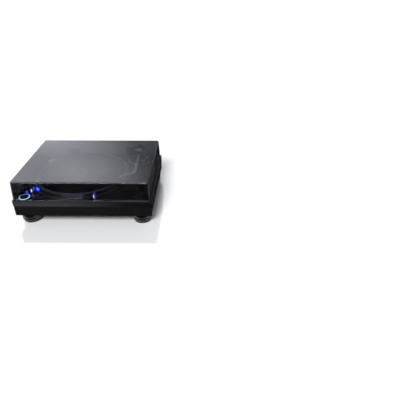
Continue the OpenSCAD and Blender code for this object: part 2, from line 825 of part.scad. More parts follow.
module arm_base() color("#26272a")
    at(pivot_at, deck_z) rotate_extrude() polygon([
        [plunger_r + run_gap, 0], [arm_base_r, 0], [arm_base_r, arm_base_h*0.4],
        [arm_base_r - 1, arm_base_h*0.5], [arm_base_r - 1.6, arm_base_h],
        [plunger_r + run_gap, arm_base_h]
    ]);

// Rear sockets

module jack_panel() color("#232426")
    difference() {
        translate([jack_offset, jack_face, foot_h + jack_level]) rotate([90, 0, 0])
            linear_extrude(jack_panel_t)
                square([jack_panel_w - 2*seat_gap, jack_panel_h - 2*seat_gap], center = true);
        at_jacks() translate([0, 0, -4]) cylinder(r = jack_r - 0.5, h = 8);
        at_ground() translate([0, 0, -4]) cylinder(r = ground_r + seat_gap, h = 8);
    }

module rca_jacks() color("gold")
    at_jacks() difference() {
        union() {
            translate([0, 0, -jack_tail]) cylinder(r = jack_r - 0.5 - seat_gap, h = jack_tail + past);
            cylinder(r = jack_r + 1.8, h = 2.5);
            cylinder(r = jack_r, h = 11);
        }
        translate([0, 0, 3]) cylinder(r = 1.7, h = 8 + past);
    }

module ground_post() color("silver")
    at_ground() {
        translate([0, 0, -jack_tail]) cylinder(r = ground_r, h = 12 + jack_tail);
        cylinder(r = 4, h = 1.5);
        translate([0, 0, 4]) difference() {
            cylinder(r = 5, h = 5);
            translate([0, 0, -past]) grip(5, 0.6, 16, 7);
        }
    }

module power_inlet() color("#161617")
    translate([-inlet_offset, 0, foot_h + jack_level]) {
        difference() {
            translate([-inlet_w/2, base_rear - inlet_len, -inlet_h/2]) cube([inlet_w, inlet_len, inlet_h]);
            translate([2 - inlet_w/2, base_rear - 15, 2 - inlet_h/2])
                cube([inlet_w - 4, 15 + past, inlet_h - 4]);
        }
        for (pin = [[-7, 0], [0, 4], [7, 0]])
            translate([pin.x - 1, base_rear - 16, pin.y - 1.5]) cube([2, 12, 3]);
    }

// Dust cover

// Outline of the cover at a height, drawn in by an inset
function cover_ring(z, inset) =
    let (rise = (z - cover_foot)/(cover_top - cover_foot),
         half = cover_half - cover_lean_side*rise - inset,
         front = cover_front + cover_lean_front*rise + inset,
         rear = cover_rear - inset)
    [for (p = rounded(2*half, rear - front, cover_corner_r - inset/2)) [p.x, p.y + (front + rear)/2, z]];

// Solid form of the cover, a wall thinner all round, from a height up
module cover_form(wall, from) {
    edge_r = cover_edge_r - wall;
    edge_z = cover_top - wall - edge_r;
    loft(concat(
        [cover_ring(from, wall)],
        [for (a = [0:22.5:90]) cover_ring(edge_z + edge_r*sin(a), wall + edge_r*(1 - cos(a)))]));
}

module dust_cover() color([0.5, 0.5, 0.55, 0.35])
    difference() {
        cover_form(0, cover_foot);
        cover_form(cover_wall, cover_foot - past);
    }

module lid_pads() color("#101010")
    for (sx = [-1, 1], sy = [-1, 1])
        translate([sx*(cover_half - cover_wall/2) - 1.2, sy*plinth_d*0.3 - 6, cover_foot - pad_t])
            cube([2.4, 12, pad_t]);

module hinge_bases() color("#1a1a1b") {
    outer_w = hinge_w/2 - knuckle_half - gap;
    at_hinges() difference() {
        union() {
            translate([-hinge_base_w/2, -knuckle_r, deck_z - hinge_sink - hinge_z])
                cube([hinge_base_w, 2*knuckle_r, hinge_sink]);
            for (s = [-1, 1]) translate([s*(hinge_w - outer_w)/2, 0, 0]) {
                axle(knuckle_r, -outer_w/2, outer_w/2);
                translate([0, 0, (deck_z - hinge_z - past)/2])
                    cube([outer_w, 2*knuckle_r - 1, hinge_z - deck_z + past], center = true);
            }
        }
        axle(hinge_pin_r + run_gap, -hinge_w, hinge_w);
    }
}

module hinge_pins() color("silver")
    at_hinges() axle(hinge_pin_r, -hinge_w/2, hinge_w/2);

module hinge_leaves() color("#1a1a1b")
    at_hinges() difference() {
        union() {
            axle(knuckle_r, -knuckle_half, knuckle_half);
            translate([-knuckle_half, -knuckle_r - gap, 0]) cube([2*knuckle_half, leaf_t, knuckle_r + 2]);
            translate([-hinge_w/2, -knuckle_r - gap, knuckle_r + 1]) cube([hinge_w, leaf_t, leaf_h]);
            for (s = [-1, 1]) translate([s*hinge_w*0.32, leaf_t - knuckle_r - gap, knuckle_r + 1 + leaf_h/2])
                rotate([-90, 0, 0]) translate([0, 0, -leaf_t/2]) cylinder(r = 2.4, h = leaf_t/2 + 1);
        }
        axle(hinge_pin_r + run_gap, -hinge_w, hinge_w);
    }

// Platter

module platter() color("#b9bcc0") {
    hub_r = 20;
    lift_hole_at = 32;
    hub_under = platter_z + 1.5;
    seat_in = magnet_r - magnet_w - 2;
    seat_out = magnet_r + 3;
    at(platter_at) difference() {
        rotate_extrude() polygon([
            [0, hub_under], [hub_r, hub_under], [hub_r, web_under],
            [seat_in, web_under], [seat_in, web_under - 2], [seat_out, web_under - 2],
            [seat_out, web_under], [rim_inner_r, web_under], [rim_inner_r, platter_z],
            [platter_r - 1, platter_z], [platter_r, platter_z + 1], [platter_r, platter_z + 2],
            [platter_top_r + 0.5, platter_top - 0.5], [platter_top_r, platter_top], [0, platter_top]
        ]);
        translate([0, 0, platter_z]) cylinder(r = journal_r + 3 + run_gap, h = platter_h - 4.5);
        translate([0, 0, platter_z]) cylinder(r = collar_r + run_gap, h = platter_h + past);
        for (s = [-1, 1]) translate([s*lift_hole_at, 0, platter_z]) cylinder(r = 6, h = platter_h + past);
    }
}

module platter_damper() color("#161616")
    at(platter_at, web_under - damper_t) ring(rim_inner_r - 2, magnet_r + 5, damper_t);

module rotor_magnet() color("#3a3b3d")
    at(platter_at, well_floor + 3 + board_t + 1)
        ring(magnet_r, magnet_r - magnet_w, web_under - 2 - well_floor - board_t - 4);

module spindle() color("silver")
    at(platter_at) {
        translate([0, 0, well_floor - bearing_depth + 4])
            cylinder(r = journal_r, h = bearing_depth - 4 + well_depth + platter_gap + 2);
        translate([0, 0, platter_z + 1.5]) cylinder(r = journal_r + 3, h = platter_h - 6);
        translate([0, 0, platter_top - 5]) cylinder(r = collar_r, h = mat_t + 5 + gap/2);
        translate([0, 0, mat_top]) rotate_extrude() polygon([
            [0, 0], [spindle_r, 0], [spindle_r, spindle_rise - 2], [spindle_r - 0.6, spindle_rise - 1],
            [spindle_r - 1.8, spindle_rise], [0, spindle_rise]]);
    }

module slipmat() color("#202124")
    at(platter_at, platter_top) ring(mat_r, collar_r + gap, mat_t);

// Controls that move

module start_stop_button() color("#dfe6ea")
    at(start_at, deck_z) difference() {
        button(start_r, start_bore + 1.6);
        translate([0, 0, button_rise + start_dish_r - dish]) sphere(r = start_dish_r);
    }

module button_33() color("#3c3e42")
    at(speed_33_at, deck_z) speed_button();

module button_45() color("#3c3e42")
    at(speed_45_at, deck_z) speed_button();

module tempo_button() color("#3c3e42")
    at(tempo_at, deck_z) button(tempo_r, tempo_r + 2);

module reset_button() color("#3c3e42")
    at(reset_at, deck_z) button(tempo_r, tempo_r + 2);

module power_knob() color("#2c2d30")
    at(tower_at, deck_z + tower_h + gap) {
        difference() {
            rotate_extrude() polygon([
                [0, 0], [power_r, 0], [power_r, power_h - 5], [power_r - 1.5, power_h - 3.5],
                [0, power_h - 3.5]
            ]);
            translate([0, 0, 1]) grip(power_r, 0.8, knob_notches, power_h);
        }
        translate([0, 0, power_h - 4]) slab(2*power_r - 6, 5, 2, 4);
        translate([0, 0, -6]) cylinder(r = 4, h = 7);
    }

// Window in the stylus light's post, a gap smaller all round
light_window = [light_r*0.3, 2.2, 9];
light_window_z = deck_z + light_rise - light_window.z - 3;
module light_window_cut(shrink)
    rotate(light_heading - 180)
        translate([light_window.x + shrink, shrink - light_window.y, light_window_z + shrink])
            cube([light_r, 2*light_window.y - 2*shrink, light_window.z - 2*shrink]);

module stylus_light() color("#c9ccd0")
    at(light_at) difference() {
        rotate_extrude() polygon(concat(
            [[0, deck_z - light_travel - 2], [light_r, deck_z - light_travel - 2]],
            [for (a = [0:22.5:90]) [light_r - 2 + 2*cos(a), deck_z + light_rise - 2 + 2*sin(a)]],
            [[0, deck_z + light_rise]]));
        light_window_cut(0);
    }

module stylus_light_lens() color("#d8f2ff")
    at(light_at) intersection() {
        cylinder(r = light_r - 0.1, h = deck_z + light_rise);
        light_window_cut(seat_gap/2);
    }

module pitch_knob() color("#2e2f32")
    at(fader_at) {
        translate([0, 0, deck_z + fader_plate_t + gap]) difference() {
            slab(fader_knob_w, fader_knob_l, 2, fader_knob_h);
            translate([0, 0, fader_knob_h + 9]) axle(12, -fader_knob_w, fader_knob_w);
        }
        translate([-fader_stem_w/2, -4, deck_under - fader_track_h + 2 + gap])
            cube([fader_stem_w, 8, deck_t + fader_track_h - 1 + fader_plate_t]);
    }

module adaptor_45() color("#c4c7ca")
    at(adaptor_at, deck_z - adaptor_sink) difference() {
        rotate_extrude() polygon([
            [0, 0], [adaptor_r, 0], [adaptor_r, adaptor_h - 5], [adaptor_r - 6, adaptor_h - 1.5],
            [adaptor_r - 9, adaptor_h], [0, adaptor_h]]);
        translate([0, 0, -past]) cylinder(r = spindle_r + 0.1, h = adaptor_h + 2*past);
    }

// Arm base and what it carries

module height_ring() color("#b4b7ba")
    at(pivot_at, height_ring_z) difference() {
        rotate_extrude() polygon([
            [plunger_r + 2*gap, 0], [height_ring_r - 0.6, 0], [height_ring_r, 0.6],
            [height_ring_r, height_ring_h - 1], [height_ring_r - 1, height_ring_h],
            [plunger_r + 2*gap, height_ring_h]
        ]);
        for (i = [0:height_notches - 1])
            rotate(i*360/height_notches) translate([height_ring_r + 0.5, 0, 2])
                cylinder(r = 1.4, h = height_ring_h);
    }

module arm_carriage() color("#26272a")
    at(pivot_at) difference() {
        union() {
            translate([0, 0, deck_under]) cylinder(r = plunger_r, h = plate_under - deck_under + 1);
            translate([0, 0, plate_under]) linear_extrude(plate_t) {
                circle(r = plate_r);
                rotate(main_heading) {
                    translate([0, -rest_tongue_w/2]) square([rest_distance, rest_tongue_w]);
                    translate([rest_distance, 0]) circle(r = rest_pad_r);
                }
                translate(skate_at) circle(r = skate_r + 3);
                translate(cue_at) circle(r = 10);
            }
            for (s = [-1, 1])
                translate([cue_at.x + s*(cue_half + gap + 1) - 1, cue_at.y - 3, plate_top - past])
                    cube([2, 6, cue_axis + 3 + past]);
        }
        translate([0, 0, plate_under - 4]) cylinder(r = 2 + run_gap, h = plate_t + 4 + past);
        at(lift_rod_at, plate_under - 14) cylinder(r = lift_rod_r + run_gap, h = plate_t + 14 + past);
        at(skate_at, plate_under - past) cylinder(r = skate_shaft_r + run_gap, h = plate_t + 2*past);
        at(cue_at, plate_top + cue_axis) axle(cue_pin_r + run_gap, -8, 8);
    }

module gimbal_arch() color("#c3c6c9")
    at(pivot_at, plate_top) rotate(arch_heading) difference() {
        union() {
            rotate([90, 0, 0]) linear_extrude(8, center = true) difference() {
                polygon(arch(arch_inner + arch_leg, arch_top - plate_top, arch_round + arch_leg - past));
                translate([0, -past]) polygon(arch(arch_inner, arch_under - plate_top + past, arch_round));
            }
            translate([0, 0, arch_top - plate_top]) rotate_extrude() polygon([
                [0, -cap_t], [cap_r, -cap_t], [cap_r, -0.6], [cap_r - 0.6, 0], [0, 0]
            ]);
        }
        translate([0, 0, arch_under - plate_top - past])
            cylinder(r = yaw_pin_r + run_gap, h = arch_bridge + 2*past);
    }

module arm_lock() color("#3a3b3e")
    at(lock_at, deck_z) {
        translate([0, 0, -deck_t]) cylinder(r = lock_pin_r, h = deck_t + 1);
        translate([0, 0, gap]) cylinder(r = 5, h = 8);
        translate([-2, 0, 3]) cube([4, lock_len, 4]);
        translate([0, lock_len, 3]) cylinder(r = 2.6, h = 4);
    }

module anti_skate_knob() color("#bfc2c5")
    at(pivot_at) at(skate_at, plate_top) {
        translate([0, 0, -plate_t]) cylinder(r = skate_shaft_r, h = plate_t + 1);
        translate([0, 0, gap]) difference() {
            rotate_extrude() polygon([[0, 0], [skate_r, 0], [skate_r, 6], [skate_r - 1, 7.5], [0, 7.5]]);
            translate([0, 0, 1]) grip(skate_r, 0.5, knob_notches, 8);
        }
    }

module cue_lever() color("#b4b7ba")
    at(pivot_at) at(cue_at, plate_top + cue_axis) {
        axle(cue_pin_r, -cue_half - gap - 2, cue_half + gap + 2);
        axle(3.4, -cue_half, cue_half);
        translate([-2, -cue_len, -1.5]) cube([4, cue_len, 3]);
        translate([0, -cue_len, -1.5]) cylinder(r = 3, h = 3);
    }

module lift_bar() color("#8d9092")
    at(pivot_at) {
        translate([0, 0, lift_bar_top - lift_bar_h]) rotate(main_heading - arm_sweep - 8)
            rotate_extrude(angle = arm_sweep + 30)
                translate([lift_r - lift_bar_w/2, 0]) square([lift_bar_w, lift_bar_h]);
        at(lift_rod_at, plate_under - 13) cylinder(r = lift_rod_r, h = lift_bar_top - plate_under + 12);
    }

module arm_rest() color("#2a2b2e")
    rest_frame() difference() {
        union() {
            translate([0, 0, -pivot_over_plate]) cylinder(r = 4, h = pivot_over_plate + rest_floor - 1);
            translate([-6.5, -tube_r - 1, rest_floor - 3]) cube([13, 2*tube_r + 8, 3]);
            for (x = [-clip_half - gap - 2, clip_half + gap])
                translate([x, tube_r + 0.8, rest_floor - 1]) cube([2, 6, 4.5 - rest_floor]);
        }
        translate([0, clip_pin.x, clip_pin.y]) axle(clip_pin_r + run_gap, -10, 10);
    }

// Drawn swung open: closed, it lies over the tube with its hook on the platter's side
module arm_clip() color("#9a9da0") {
    reach = clip_pin.x + tube_r + 2.5;
    over = tube_r + 0.8 - clip_pin.y;
    rest_frame() translate([0, clip_pin.x, clip_pin.y]) {
        axle(clip_pin_r, -clip_half - gap - 2, clip_half + gap + 2);
        axle(2.2, -clip_half, clip_half);
        translate([-clip_half, -1, -over - 2]) cube([2*clip_half, 2, over + 1]);
        translate([-clip_half, -1, -over - 2]) cube([2*clip_half, reach + 1, 2]);
        translate([-clip_half, reach - 1.8, -over - 2]) cube([2*clip_half, 1.8, over + 5]);
    }
}

// Gimbal and arm

module gimbal_ring() color("#d0d3d6")
    main_frame() difference() {
        union() {
            rotate([0, 90, 0]) translate([0, 0, -4]) ring(gimbal_r, gimbal_inner_r, 8);
            translate([0, 0, gimbal_inner_r + 1])
                cylinder(r = yaw_pin_r, h = arch_top - pivot_z - gimbal_inner_r - 1.5);
            translate([0, 0, -pivot_over_plate - plate_t - 3])
                cylinder(r = 2, h = pivot_over_plate + plate_t + 3 - gimbal_inner_r - 1);
        }
        rotate([90, 0, 0]) translate([0, 0, -20]) cylinder(r = tilt_pin_r + run_gap, h = 40);
    }

module pivot_screws() color("silver")
    main_frame() for (s = [-1, 1]) rotate([-90*s, 0, 0]) {
        translate([0, 0, yoke_r - 3]) cylinder(r = tilt_pin_r, h = gimbal_r - yoke_r + 4);
        translate([0, 0, gimbal_r + 0.2]) cylinder(r = 2.6, h = 2);
    }

// Stations along a round bend: place and angle of the tube at each step
function bend_stations(start, r, from, to, steps) =
    [for (i = [0:steps])
        let (angle = from + (to - from)*i/steps)
        [start + bend_shift(r, from, angle), angle]];

// Round section of the tube, square to its way
function tube_ring(station) =
    let (side = polar(1, station[1] + 90))
    [for (i = [0:tube_sides - 1])
        let (p = polar(tube_r, 360*i/tube_sides), q = station[0] + p.x*side)
        [q.x, q.y, p.y]];

module arm_tube() color("#c9ccd0") {
    bend_1_at = main_len*main_way;
    bend_2_at = bend_1_at + bend_1 + cross_len*cross_way;
    stylus_at = [arm_length, 0];
    stations = concat(
        [[(yoke_half - 2)*main_way, tube_splay]],
        bend_stations(bend_1_at, bend_1_r, tube_splay, -tube_cross, 12),
        bend_stations(bend_2_at, bend_2_r, -tube_cross, -arm_offset, 5),
        [[stylus_at + tube_end*head_way, -arm_offset]]);
    arm_frame() loft([for (station = stations) tube_ring(station)]);
    main_frame() difference() {
        axle(yoke_r, -yoke_half, yoke_half);
        rotate([90, 0, 0]) translate([0, 0, -20]) cylinder(r = tilt_pin_r + run_gap, h = 40);
    }
}

module arm_shaft() color("silver")
    main_frame() axle(shaft_r, -shaft_len, -yoke_half);

module counterweight() color("#3b3d40")
    main_frame() translate([-weight_back, 0, 0]) turned([
        [shaft_r + run_gap, -weight_len/2], [weight_r - 3, -weight_len/2],
        [weight_r - 0.4, 1.4 - weight_len/2], [weight_r - 0.4, -3], [weight_r - 1, -2.5],
        [weight_r - 1, -1], [weight_r, -0.5], [weight_r, weight_len/2 - 1],
        [weight_r - 1, weight_len/2], [shaft_r + run_gap, weight_len/2]
    ]);

module force_dial() color("#202124") {
    dial_from = weight_len/2 - weight_back + gap;
    dial_r = weight_r - 0.5;
    main_frame() translate([dial_from, 0, 0]) difference() {
        turned([
            [shaft_r + run_gap, 0], [dial_r, 0], [dial_r, dial_len - 1.5], [dial_r - 1.2, dial_len],
            [shaft_r + run_gap, dial_len]
        ]);
        rotate([0, 90, 0]) translate([0, 0, dial_len/2]) grip(dial_r, 0.5, 2*knob_notches, dial_len);
    }
}

module headshell_collet() color("#9a9da0")
    head_frame() translate([tube_end, 0, 0]) difference() {
        turned([
            [tube_r + run_gap, -5], [collet_r - 0.9, -5], [collet_r, -4], [collet_r, -0.8],
            [collet_r - 0.6, -0.4], [collet_r - 0.6, 0.6], [collet_r, 1], [collet_r, 7],
            [collet_r - 0.8, 8], [tube_r + run_gap, 8]
        ]);
        rotate([0, 90, 0]) translate([0, 0, 1.5]) grip(collet_r, 0.5, knob_notches, 4.5);
    }

module headshell() color("#232427")
    head_frame() difference() {
        union() {
            axle(tube_r - 0.3, tube_end, collet_front + 4);
            translate([0, 0, -1.5]) linear_extrude(3) polygon([
                [shell_rear, -shell_neck], [shell_rear + 9, -shell_half], [shell_front - 3, -shell_half],
                [shell_front, 3 - shell_half], [shell_front, shell_half - 3], [shell_front - 3, shell_half],
                [shell_rear + 9, shell_half], [shell_rear, shell_neck]
            ]);
            translate([shell_rear, -6, -3]) cube([8, 12, 6]);
            translate([2, 8, 0]) rotate([0, 90, 20]) {
                cylinder(r = 1.1, h = 16);
                translate([0, 0, 16]) sphere(r = 1.6);
            }
        }
        for (s = [-1, 1]) translate([-9, s*6.35, -5]) slab(14, 2.8, 1.3, 10);
        for (x = [-22, -9, 4]) translate([x, 0, -5]) cylinder(r = 2, h = 10);
    }

// Feet

module foot_front_left() color("#0e0e0f")
    translate([-foot_x, -foot_y, 0]) foot_solid();

module foot_front_right() color("#0e0e0f")
    translate([foot_x, -foot_y, 0]) foot_solid();

module foot_rear_left() color("#0e0e0f")
    translate([-foot_x, foot_y, 0]) foot_solid();

module foot_rear_right() color("#0e0e0f")
    translate([foot_x, foot_y, 0]) foot_solid();

top_chassis();
lower_base();
base_screws();
bearing_housing();
stator_coils();
stator_board();
main_board();
power_supply();
strobe_housing();
strobe_lens();
start_ring();
fader_plate();
fader_track();
light_sleeve();
arm_base();
jack_panel();
rca_jacks();
ground_post();
power_inlet();
hinge_bases();
hinge_pins();
dust_cover();
hinge_leaves();
lid_pads();
platter();
platter_damper();
rotor_magnet();
spindle();
slipmat();
start_stop_button();
button_33();
button_45();
power_knob();
stylus_light();
stylus_light_lens();
pitch_knob();
tempo_button();
reset_button();
adaptor_45();
height_ring();
arm_carriage();
gimbal_arch();
arm_lock();
anti_skate_knob();
cue_lever();
lift_bar();
arm_rest();
arm_clip();
gimbal_ring();
pivot_screws();
arm_tube();
arm_shaft();
counterweight();
force_dial();
headshell_collet();
headshell();
foot_front_left();
foot_front_right();
foot_rear_left();
foot_rear_right();
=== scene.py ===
"""Looks of a direct-drive turntable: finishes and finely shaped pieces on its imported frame."""

import json
import logging
import math
from dataclasses import dataclass, replace
from enum import Enum
from typing import Any, NamedTuple, Sequence

import bmesh
import bpy
from mathutils import Matrix, Vector


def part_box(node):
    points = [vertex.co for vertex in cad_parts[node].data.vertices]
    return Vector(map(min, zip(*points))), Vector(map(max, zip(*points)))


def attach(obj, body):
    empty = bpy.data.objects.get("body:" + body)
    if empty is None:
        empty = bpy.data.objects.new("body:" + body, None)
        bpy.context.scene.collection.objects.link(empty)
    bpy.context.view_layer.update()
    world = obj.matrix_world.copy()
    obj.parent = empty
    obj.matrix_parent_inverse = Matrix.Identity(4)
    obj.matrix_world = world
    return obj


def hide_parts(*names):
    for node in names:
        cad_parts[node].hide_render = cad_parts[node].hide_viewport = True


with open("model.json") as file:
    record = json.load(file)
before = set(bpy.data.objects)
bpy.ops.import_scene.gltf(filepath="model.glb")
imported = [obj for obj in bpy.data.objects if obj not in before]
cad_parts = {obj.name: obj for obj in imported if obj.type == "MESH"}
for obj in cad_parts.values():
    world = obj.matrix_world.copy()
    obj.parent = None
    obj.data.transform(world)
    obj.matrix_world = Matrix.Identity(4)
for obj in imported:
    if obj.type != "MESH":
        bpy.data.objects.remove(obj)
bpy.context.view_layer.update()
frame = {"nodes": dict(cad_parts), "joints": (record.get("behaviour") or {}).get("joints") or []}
LOG = logging.getLogger("turntable")

MM = 0.001
FULL_TURN = 2 * math.pi
# Heights closer than this many millimetres count as one level, and points this close are merged
SAME_LEVEL = 0.001
WELD = 0.0005

Point = tuple[float, float]
Size = tuple[float, float, float]
Tree = bpy.types.NodeTree
Socket = bpy.types.NodeSocket


def linear(code: str) -> tuple[float, float, float, float]:
    """Turns an sRGB hex colour into linear light.

    Args:
        code: Six hex digits.

    Returns:
        Red, green, blue and an alpha of 1.
    """
    parts = [int(code[i:i + 2], 16) / 255 for i in (0, 2, 4)]
    light = [c / 12.92 if c <= 0.04045 else ((c + 0.055) / 1.055) ** 2.4 for c in parts]
    return light[0], light[1], light[2], 1.0


def add_node(tree: Tree, kind: str, values: dict[Any, Any],
             links: dict[Any, Socket] | None = None) -> bpy.types.Node:
    """Adds a node with its settings and links.

    Args:
        tree: Node tree that the node goes into.
        kind: Blender's name for the kind of node.
        values: Attributes of the node, or values of its input sockets by name or number.
        links: Output sockets to link, by input name or number.

    Returns:
        The new node.
    """
    node = tree.nodes.new(kind)
    for key, value in values.items():
        if isinstance(key, str) and hasattr(node, key):
            setattr(node, key, value)
        else:
            node.inputs[key].default_value = value
    for key, socket in (links or {}).items():
        tree.links.new(socket, node.inputs[key])
    return node


def empty_tree(owner: bpy.types.Material | bpy.types.World) -> Tree:
    """Gives the node tree of a material or a world, emptied."""
    owner.use_nodes = True
    owner.node_tree.nodes.clear()
    return owner.node_tree


def joint_fact(name: str, fact: str) -> Any:
    """Gives one fact of a joint of the frame."""
    return next(j[fact] for j in frame["joints"] if j["name"] == name)


def pivot_of(name: str) -> Vector:
    """Gives the point that a hinge turns about, in millimetres."""
    return Vector(joint_fact(name, "pos_m")) / MM


def heading_of(name: str) -> float:
    """Gives the heading of a joint's axis, in degrees."""
    way = joint_fact(name, "axis")
    return math.degrees(math.atan2(way[1], way[0]))


def at(x: float, y: float, z: float, heading: float = 0.0) -> Matrix:
    """Gives a place in millimetres, turned about the vertical by a heading in degrees."""
    return Matrix.Translation((x, y, z)) @ Matrix.Rotation(math.radians(heading), 4, "Z")


# Turns what is spun about the vertical so that it is spun about +X
LYING = Matrix.Rotation(math.radians(90), 4, "Y")
# Turns a flat outline so that its first axis points along +Y, its second up and its thickness along +X
STANDING = Matrix(((0, 0, 1, 0), (1, 0, 0, 0), (0, 1, 0, 0), (0, 0, 0, 1)))


def outward(radius: float, height: float) -> Matrix:
    """Gives the place of a stud that points out of a round wall."""
    return Matrix.Translation((radius, 0, height)) @ LYING


class Box(NamedTuple):
    """Lowest and highest corners of a CAD node at rest, in millimetres."""

    low: Vector
    high: Vector

    @property
    def middle(self) -> Vector:
        """Gives the middle of the box."""
        return (self.low + self.high) / 2

    @property
    def radius(self) -> float:
        """Gives half the width, which is the radius of a round node."""
        return (self.high.x - self.low.x) / 2

    def stand(self, z: float = 0.0) -> Matrix:
        """Gives the place over or under the middle at a height."""
        return at(self.middle.x, self.middle.y, z)


def box_of(node: str) -> Box:
    """Gives the box of a CAD node."""
    low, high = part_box(node)
    return Box(low / MM, high / MM)


class Grain(Enum):
    """How a surface was made, with the detail of its fine pattern."""

    MOULDED = 3.0
    PAINT = 1.0
    POLISHED = 2.0
    TURNED = 1.5
    BRUSHED = 2.5
    FELT = 4.0


@dataclass(frozen=True)
class Finish:
    """One material: what it is made of and how its surface was made.

    Sizes are in millimetres. A pattern finer than a render shows is drawn coarser.
    """

    name: str
    colour: str
    grain: Grain
    grain_mm: float = 0.8
    depth_mm: float = 0.02
    metallic: float = 0.0
    roughness: float = 0.4
    spread: float = 0.06
    shade: float = 0.12
    ior: float = 1.5
    gloss: float = 0.5
    sheen: float = 0.0
    transmission: float = 0.0
    glow: str = ""
    glow_strength: float = 0.0
    centre: Point = (0.0, 0.0)
    cloud_mm: float = 35.0

    def material(self) -> bpy.types.Material:
        """Gives this finish's material, made on first use."""
        return bpy.data.materials.get(self.name) or self._make()

    def _make(self) -> bpy.types.Material:
        """Builds the node tree of this finish.

        Returns:
            The new material.
        """
        material = bpy.data.materials.new(self.name)
        tree = empty_tree(material)
        place = add_node(tree, "ShaderNodeTexCoord", {}).outputs["Object"]
        pattern = self._pattern(tree, place)
        cloud = add_node(tree, "ShaderNodeTexNoise", {"Scale": 1 / (self.cloud_mm * MM), "Detail": 3.0},
                         {"Vector": place})
        base = linear(self.colour)[:3]
        tint = add_node(tree, "ShaderNodeMix", {
            "data_type": "RGBA",
            6: (*(c * (1 - self.shade) for c in base), 1.0),
            7: (*(min(1.0, c * (1 + self.shade)) for c in base), 1.0),
        }, {0: cloud.outputs["Fac"]})
        rough = add_node(tree, "ShaderNodeMapRange", {
            "From Min": 0.3, "From Max": 0.7,
            "To Min": max(0.02, self.roughness - self.spread),
            "To Max": min(1.0, self.roughness + self.spread),
        }, {"Value": pattern})
        bump = add_node(tree, "ShaderNodeBump", {"Strength": 0.6, "Distance": self.depth_mm * MM},
                        {"Height": pattern})
        shader = add_node(tree, "ShaderNodeBsdfPrincipled", {
            "Metallic": self.metallic, "IOR": self.ior, "Specular IOR Level": self.gloss,
            "Sheen Weight": self.sheen, "Sheen Roughness": 0.5, "Transmission Weight": self.transmission,
        }, {"Base Color": tint.outputs[2], "Roughness": rough.outputs[0], "Normal": bump.outputs[0]})
        if self.glow:
            shader.inputs["Emission Color"].default_value = linear(self.glow)
            shader.inputs["Emission Strength"].default_value = self.glow_strength
        add_node(tree, "ShaderNodeOutputMaterial", {}, {"Surface": shader.outputs["BSDF"]})
        return material

    def _pattern(self, tree: Tree, place: Socket) -> Socket:
        """Adds the fine pattern of this finish's grain.

        Args:
            tree: Node tree of the material.
            place: Object coordinates.

        Returns:
            A value from 0 to 1.
        """
        scale = 1 / (self.grain_mm * MM)
        if self.grain is Grain.TURNED:
            centred = add_node(tree, "ShaderNodeMapping", {
                "Location": (-self.centre[0] * MM, -self.centre[1] * MM, 0.0)}, {"Vector": place})
            # A ring wave repeats every 0.314 of its unit
            return add_node(tree, "ShaderNodeTexWave", {
                "wave_type": "RINGS", "rings_direction": "Z", "Scale": 0.314 * scale,
                "Distortion": 1.2, "Detail": 2.0, "Detail Scale": 0.3,
            }, {"Vector": centred.outputs[0]}).outputs["Fac"]
        if self.grain is Grain.BRUSHED:
            drawn = add_node(tree, "ShaderNodeMapping", {"Scale": (scale, 0.04 * scale, scale)},
                             {"Vector": place})
            place, scale = drawn.outputs[0], 1.0
        noise = add_node(tree, "ShaderNodeTexNoise", {"Scale": scale, "Detail": self.grain.value},
                         {"Vector": place})
        if self.grain is Grain.FELT:
            noise.inputs["Distortion"].default_value = 2.0
        return noise.outputs["Fac"]


# Cast aluminium under satin paint: dark, with a soft sheen that follows the light
DECK_PAINT = Finish("satin_charcoal_paint", "0c0d0e", Grain.PAINT, 1.2, 0.012, roughness=0.18, gloss=0.5)
# Heavy filled resin, moulded with a fine matt texture: swallows light
BASE_RESIN = Finish("moulded_heavy_resin", "0f0f10", Grain.MOULDED, 0.9, 0.05, roughness=0.62, gloss=0.2)
# Gloss ABS, polished mould: small sharp glints
FOOT_ABS = Finish("gloss_black_abs", "0a0a0b", Grain.POLISHED, 2.5, 0.01, roughness=0.14, spread=0.04)
# Satin ABS, spark-eroded mould: soft even shine
BLACK_ABS = Finish("satin_black_abs", "121213", Grain.MOULDED, 0.7, 0.02, roughness=0.42)
GREY_ABS = replace(BLACK_ABS, name="satin_grey_abs", colour="2e3034")
# Cast rubber: dull and slightly dusty
RUBBER = Finish("cast_rubber", "0f0f10", Grain.MOULDED, 1.0, 0.06, roughness=0.85, shade=0.25, gloss=0.2)
# Aluminium turned on a lathe: fine rings that fan the light
TURNED = Finish("turned_aluminium", "c6c9cd", Grain.TURNED, 0.9, 0.008, metallic=1.0, roughness=0.28)
# Aluminium, blasted and anodised: even silver sheen
SATIN_METAL = Finish("anodised_aluminium", "d6d8dc", Grain.POLISHED, 0.6, 0.006, metallic=1.0, roughness=0.3)
# The same with a black dye: a dark metal glow along the edges
DARK_METAL = Finish("dark_anodised_aluminium", "26272b", Grain.POLISHED, 0.6, 0.008, metallic=0.85,
                    roughness=0.36)
# Aluminium dots that the enamel leaves bare: small sparks that run together as the platter turns
DOT_METAL = replace(SATIN_METAL, name="bare_strobe_dots", colour="c9ccd1")
# Silver paint with fine flakes: pale from every side
SILVER_PAINT = Finish("satin_silver_paint", "dcdee1", Grain.PAINT, 0.5, 0.006, metallic=0.3, roughness=0.36)
# Aluminium brushed along Y: streaks across the shine
BRUSHED_METAL = Finish("brushed_aluminium", "a9acb1", Grain.BRUSHED, 0.35, 0.006, metallic=1.0,
                       roughness=0.3)
# Polished steel: mirror with faint cloudiness
STEEL = Finish("polished_steel", "c6c8cc", Grain.POLISHED, 3.0, 0.003, metallic=1.0, roughness=0.1,
               spread=0.03)
# Stoved enamel: deep black with a clear shine
BLACK_ENAMEL = Finish("black_enamel", "08080a", Grain.PAINT, 1.5, 0.008, roughness=0.2, spread=0.04)
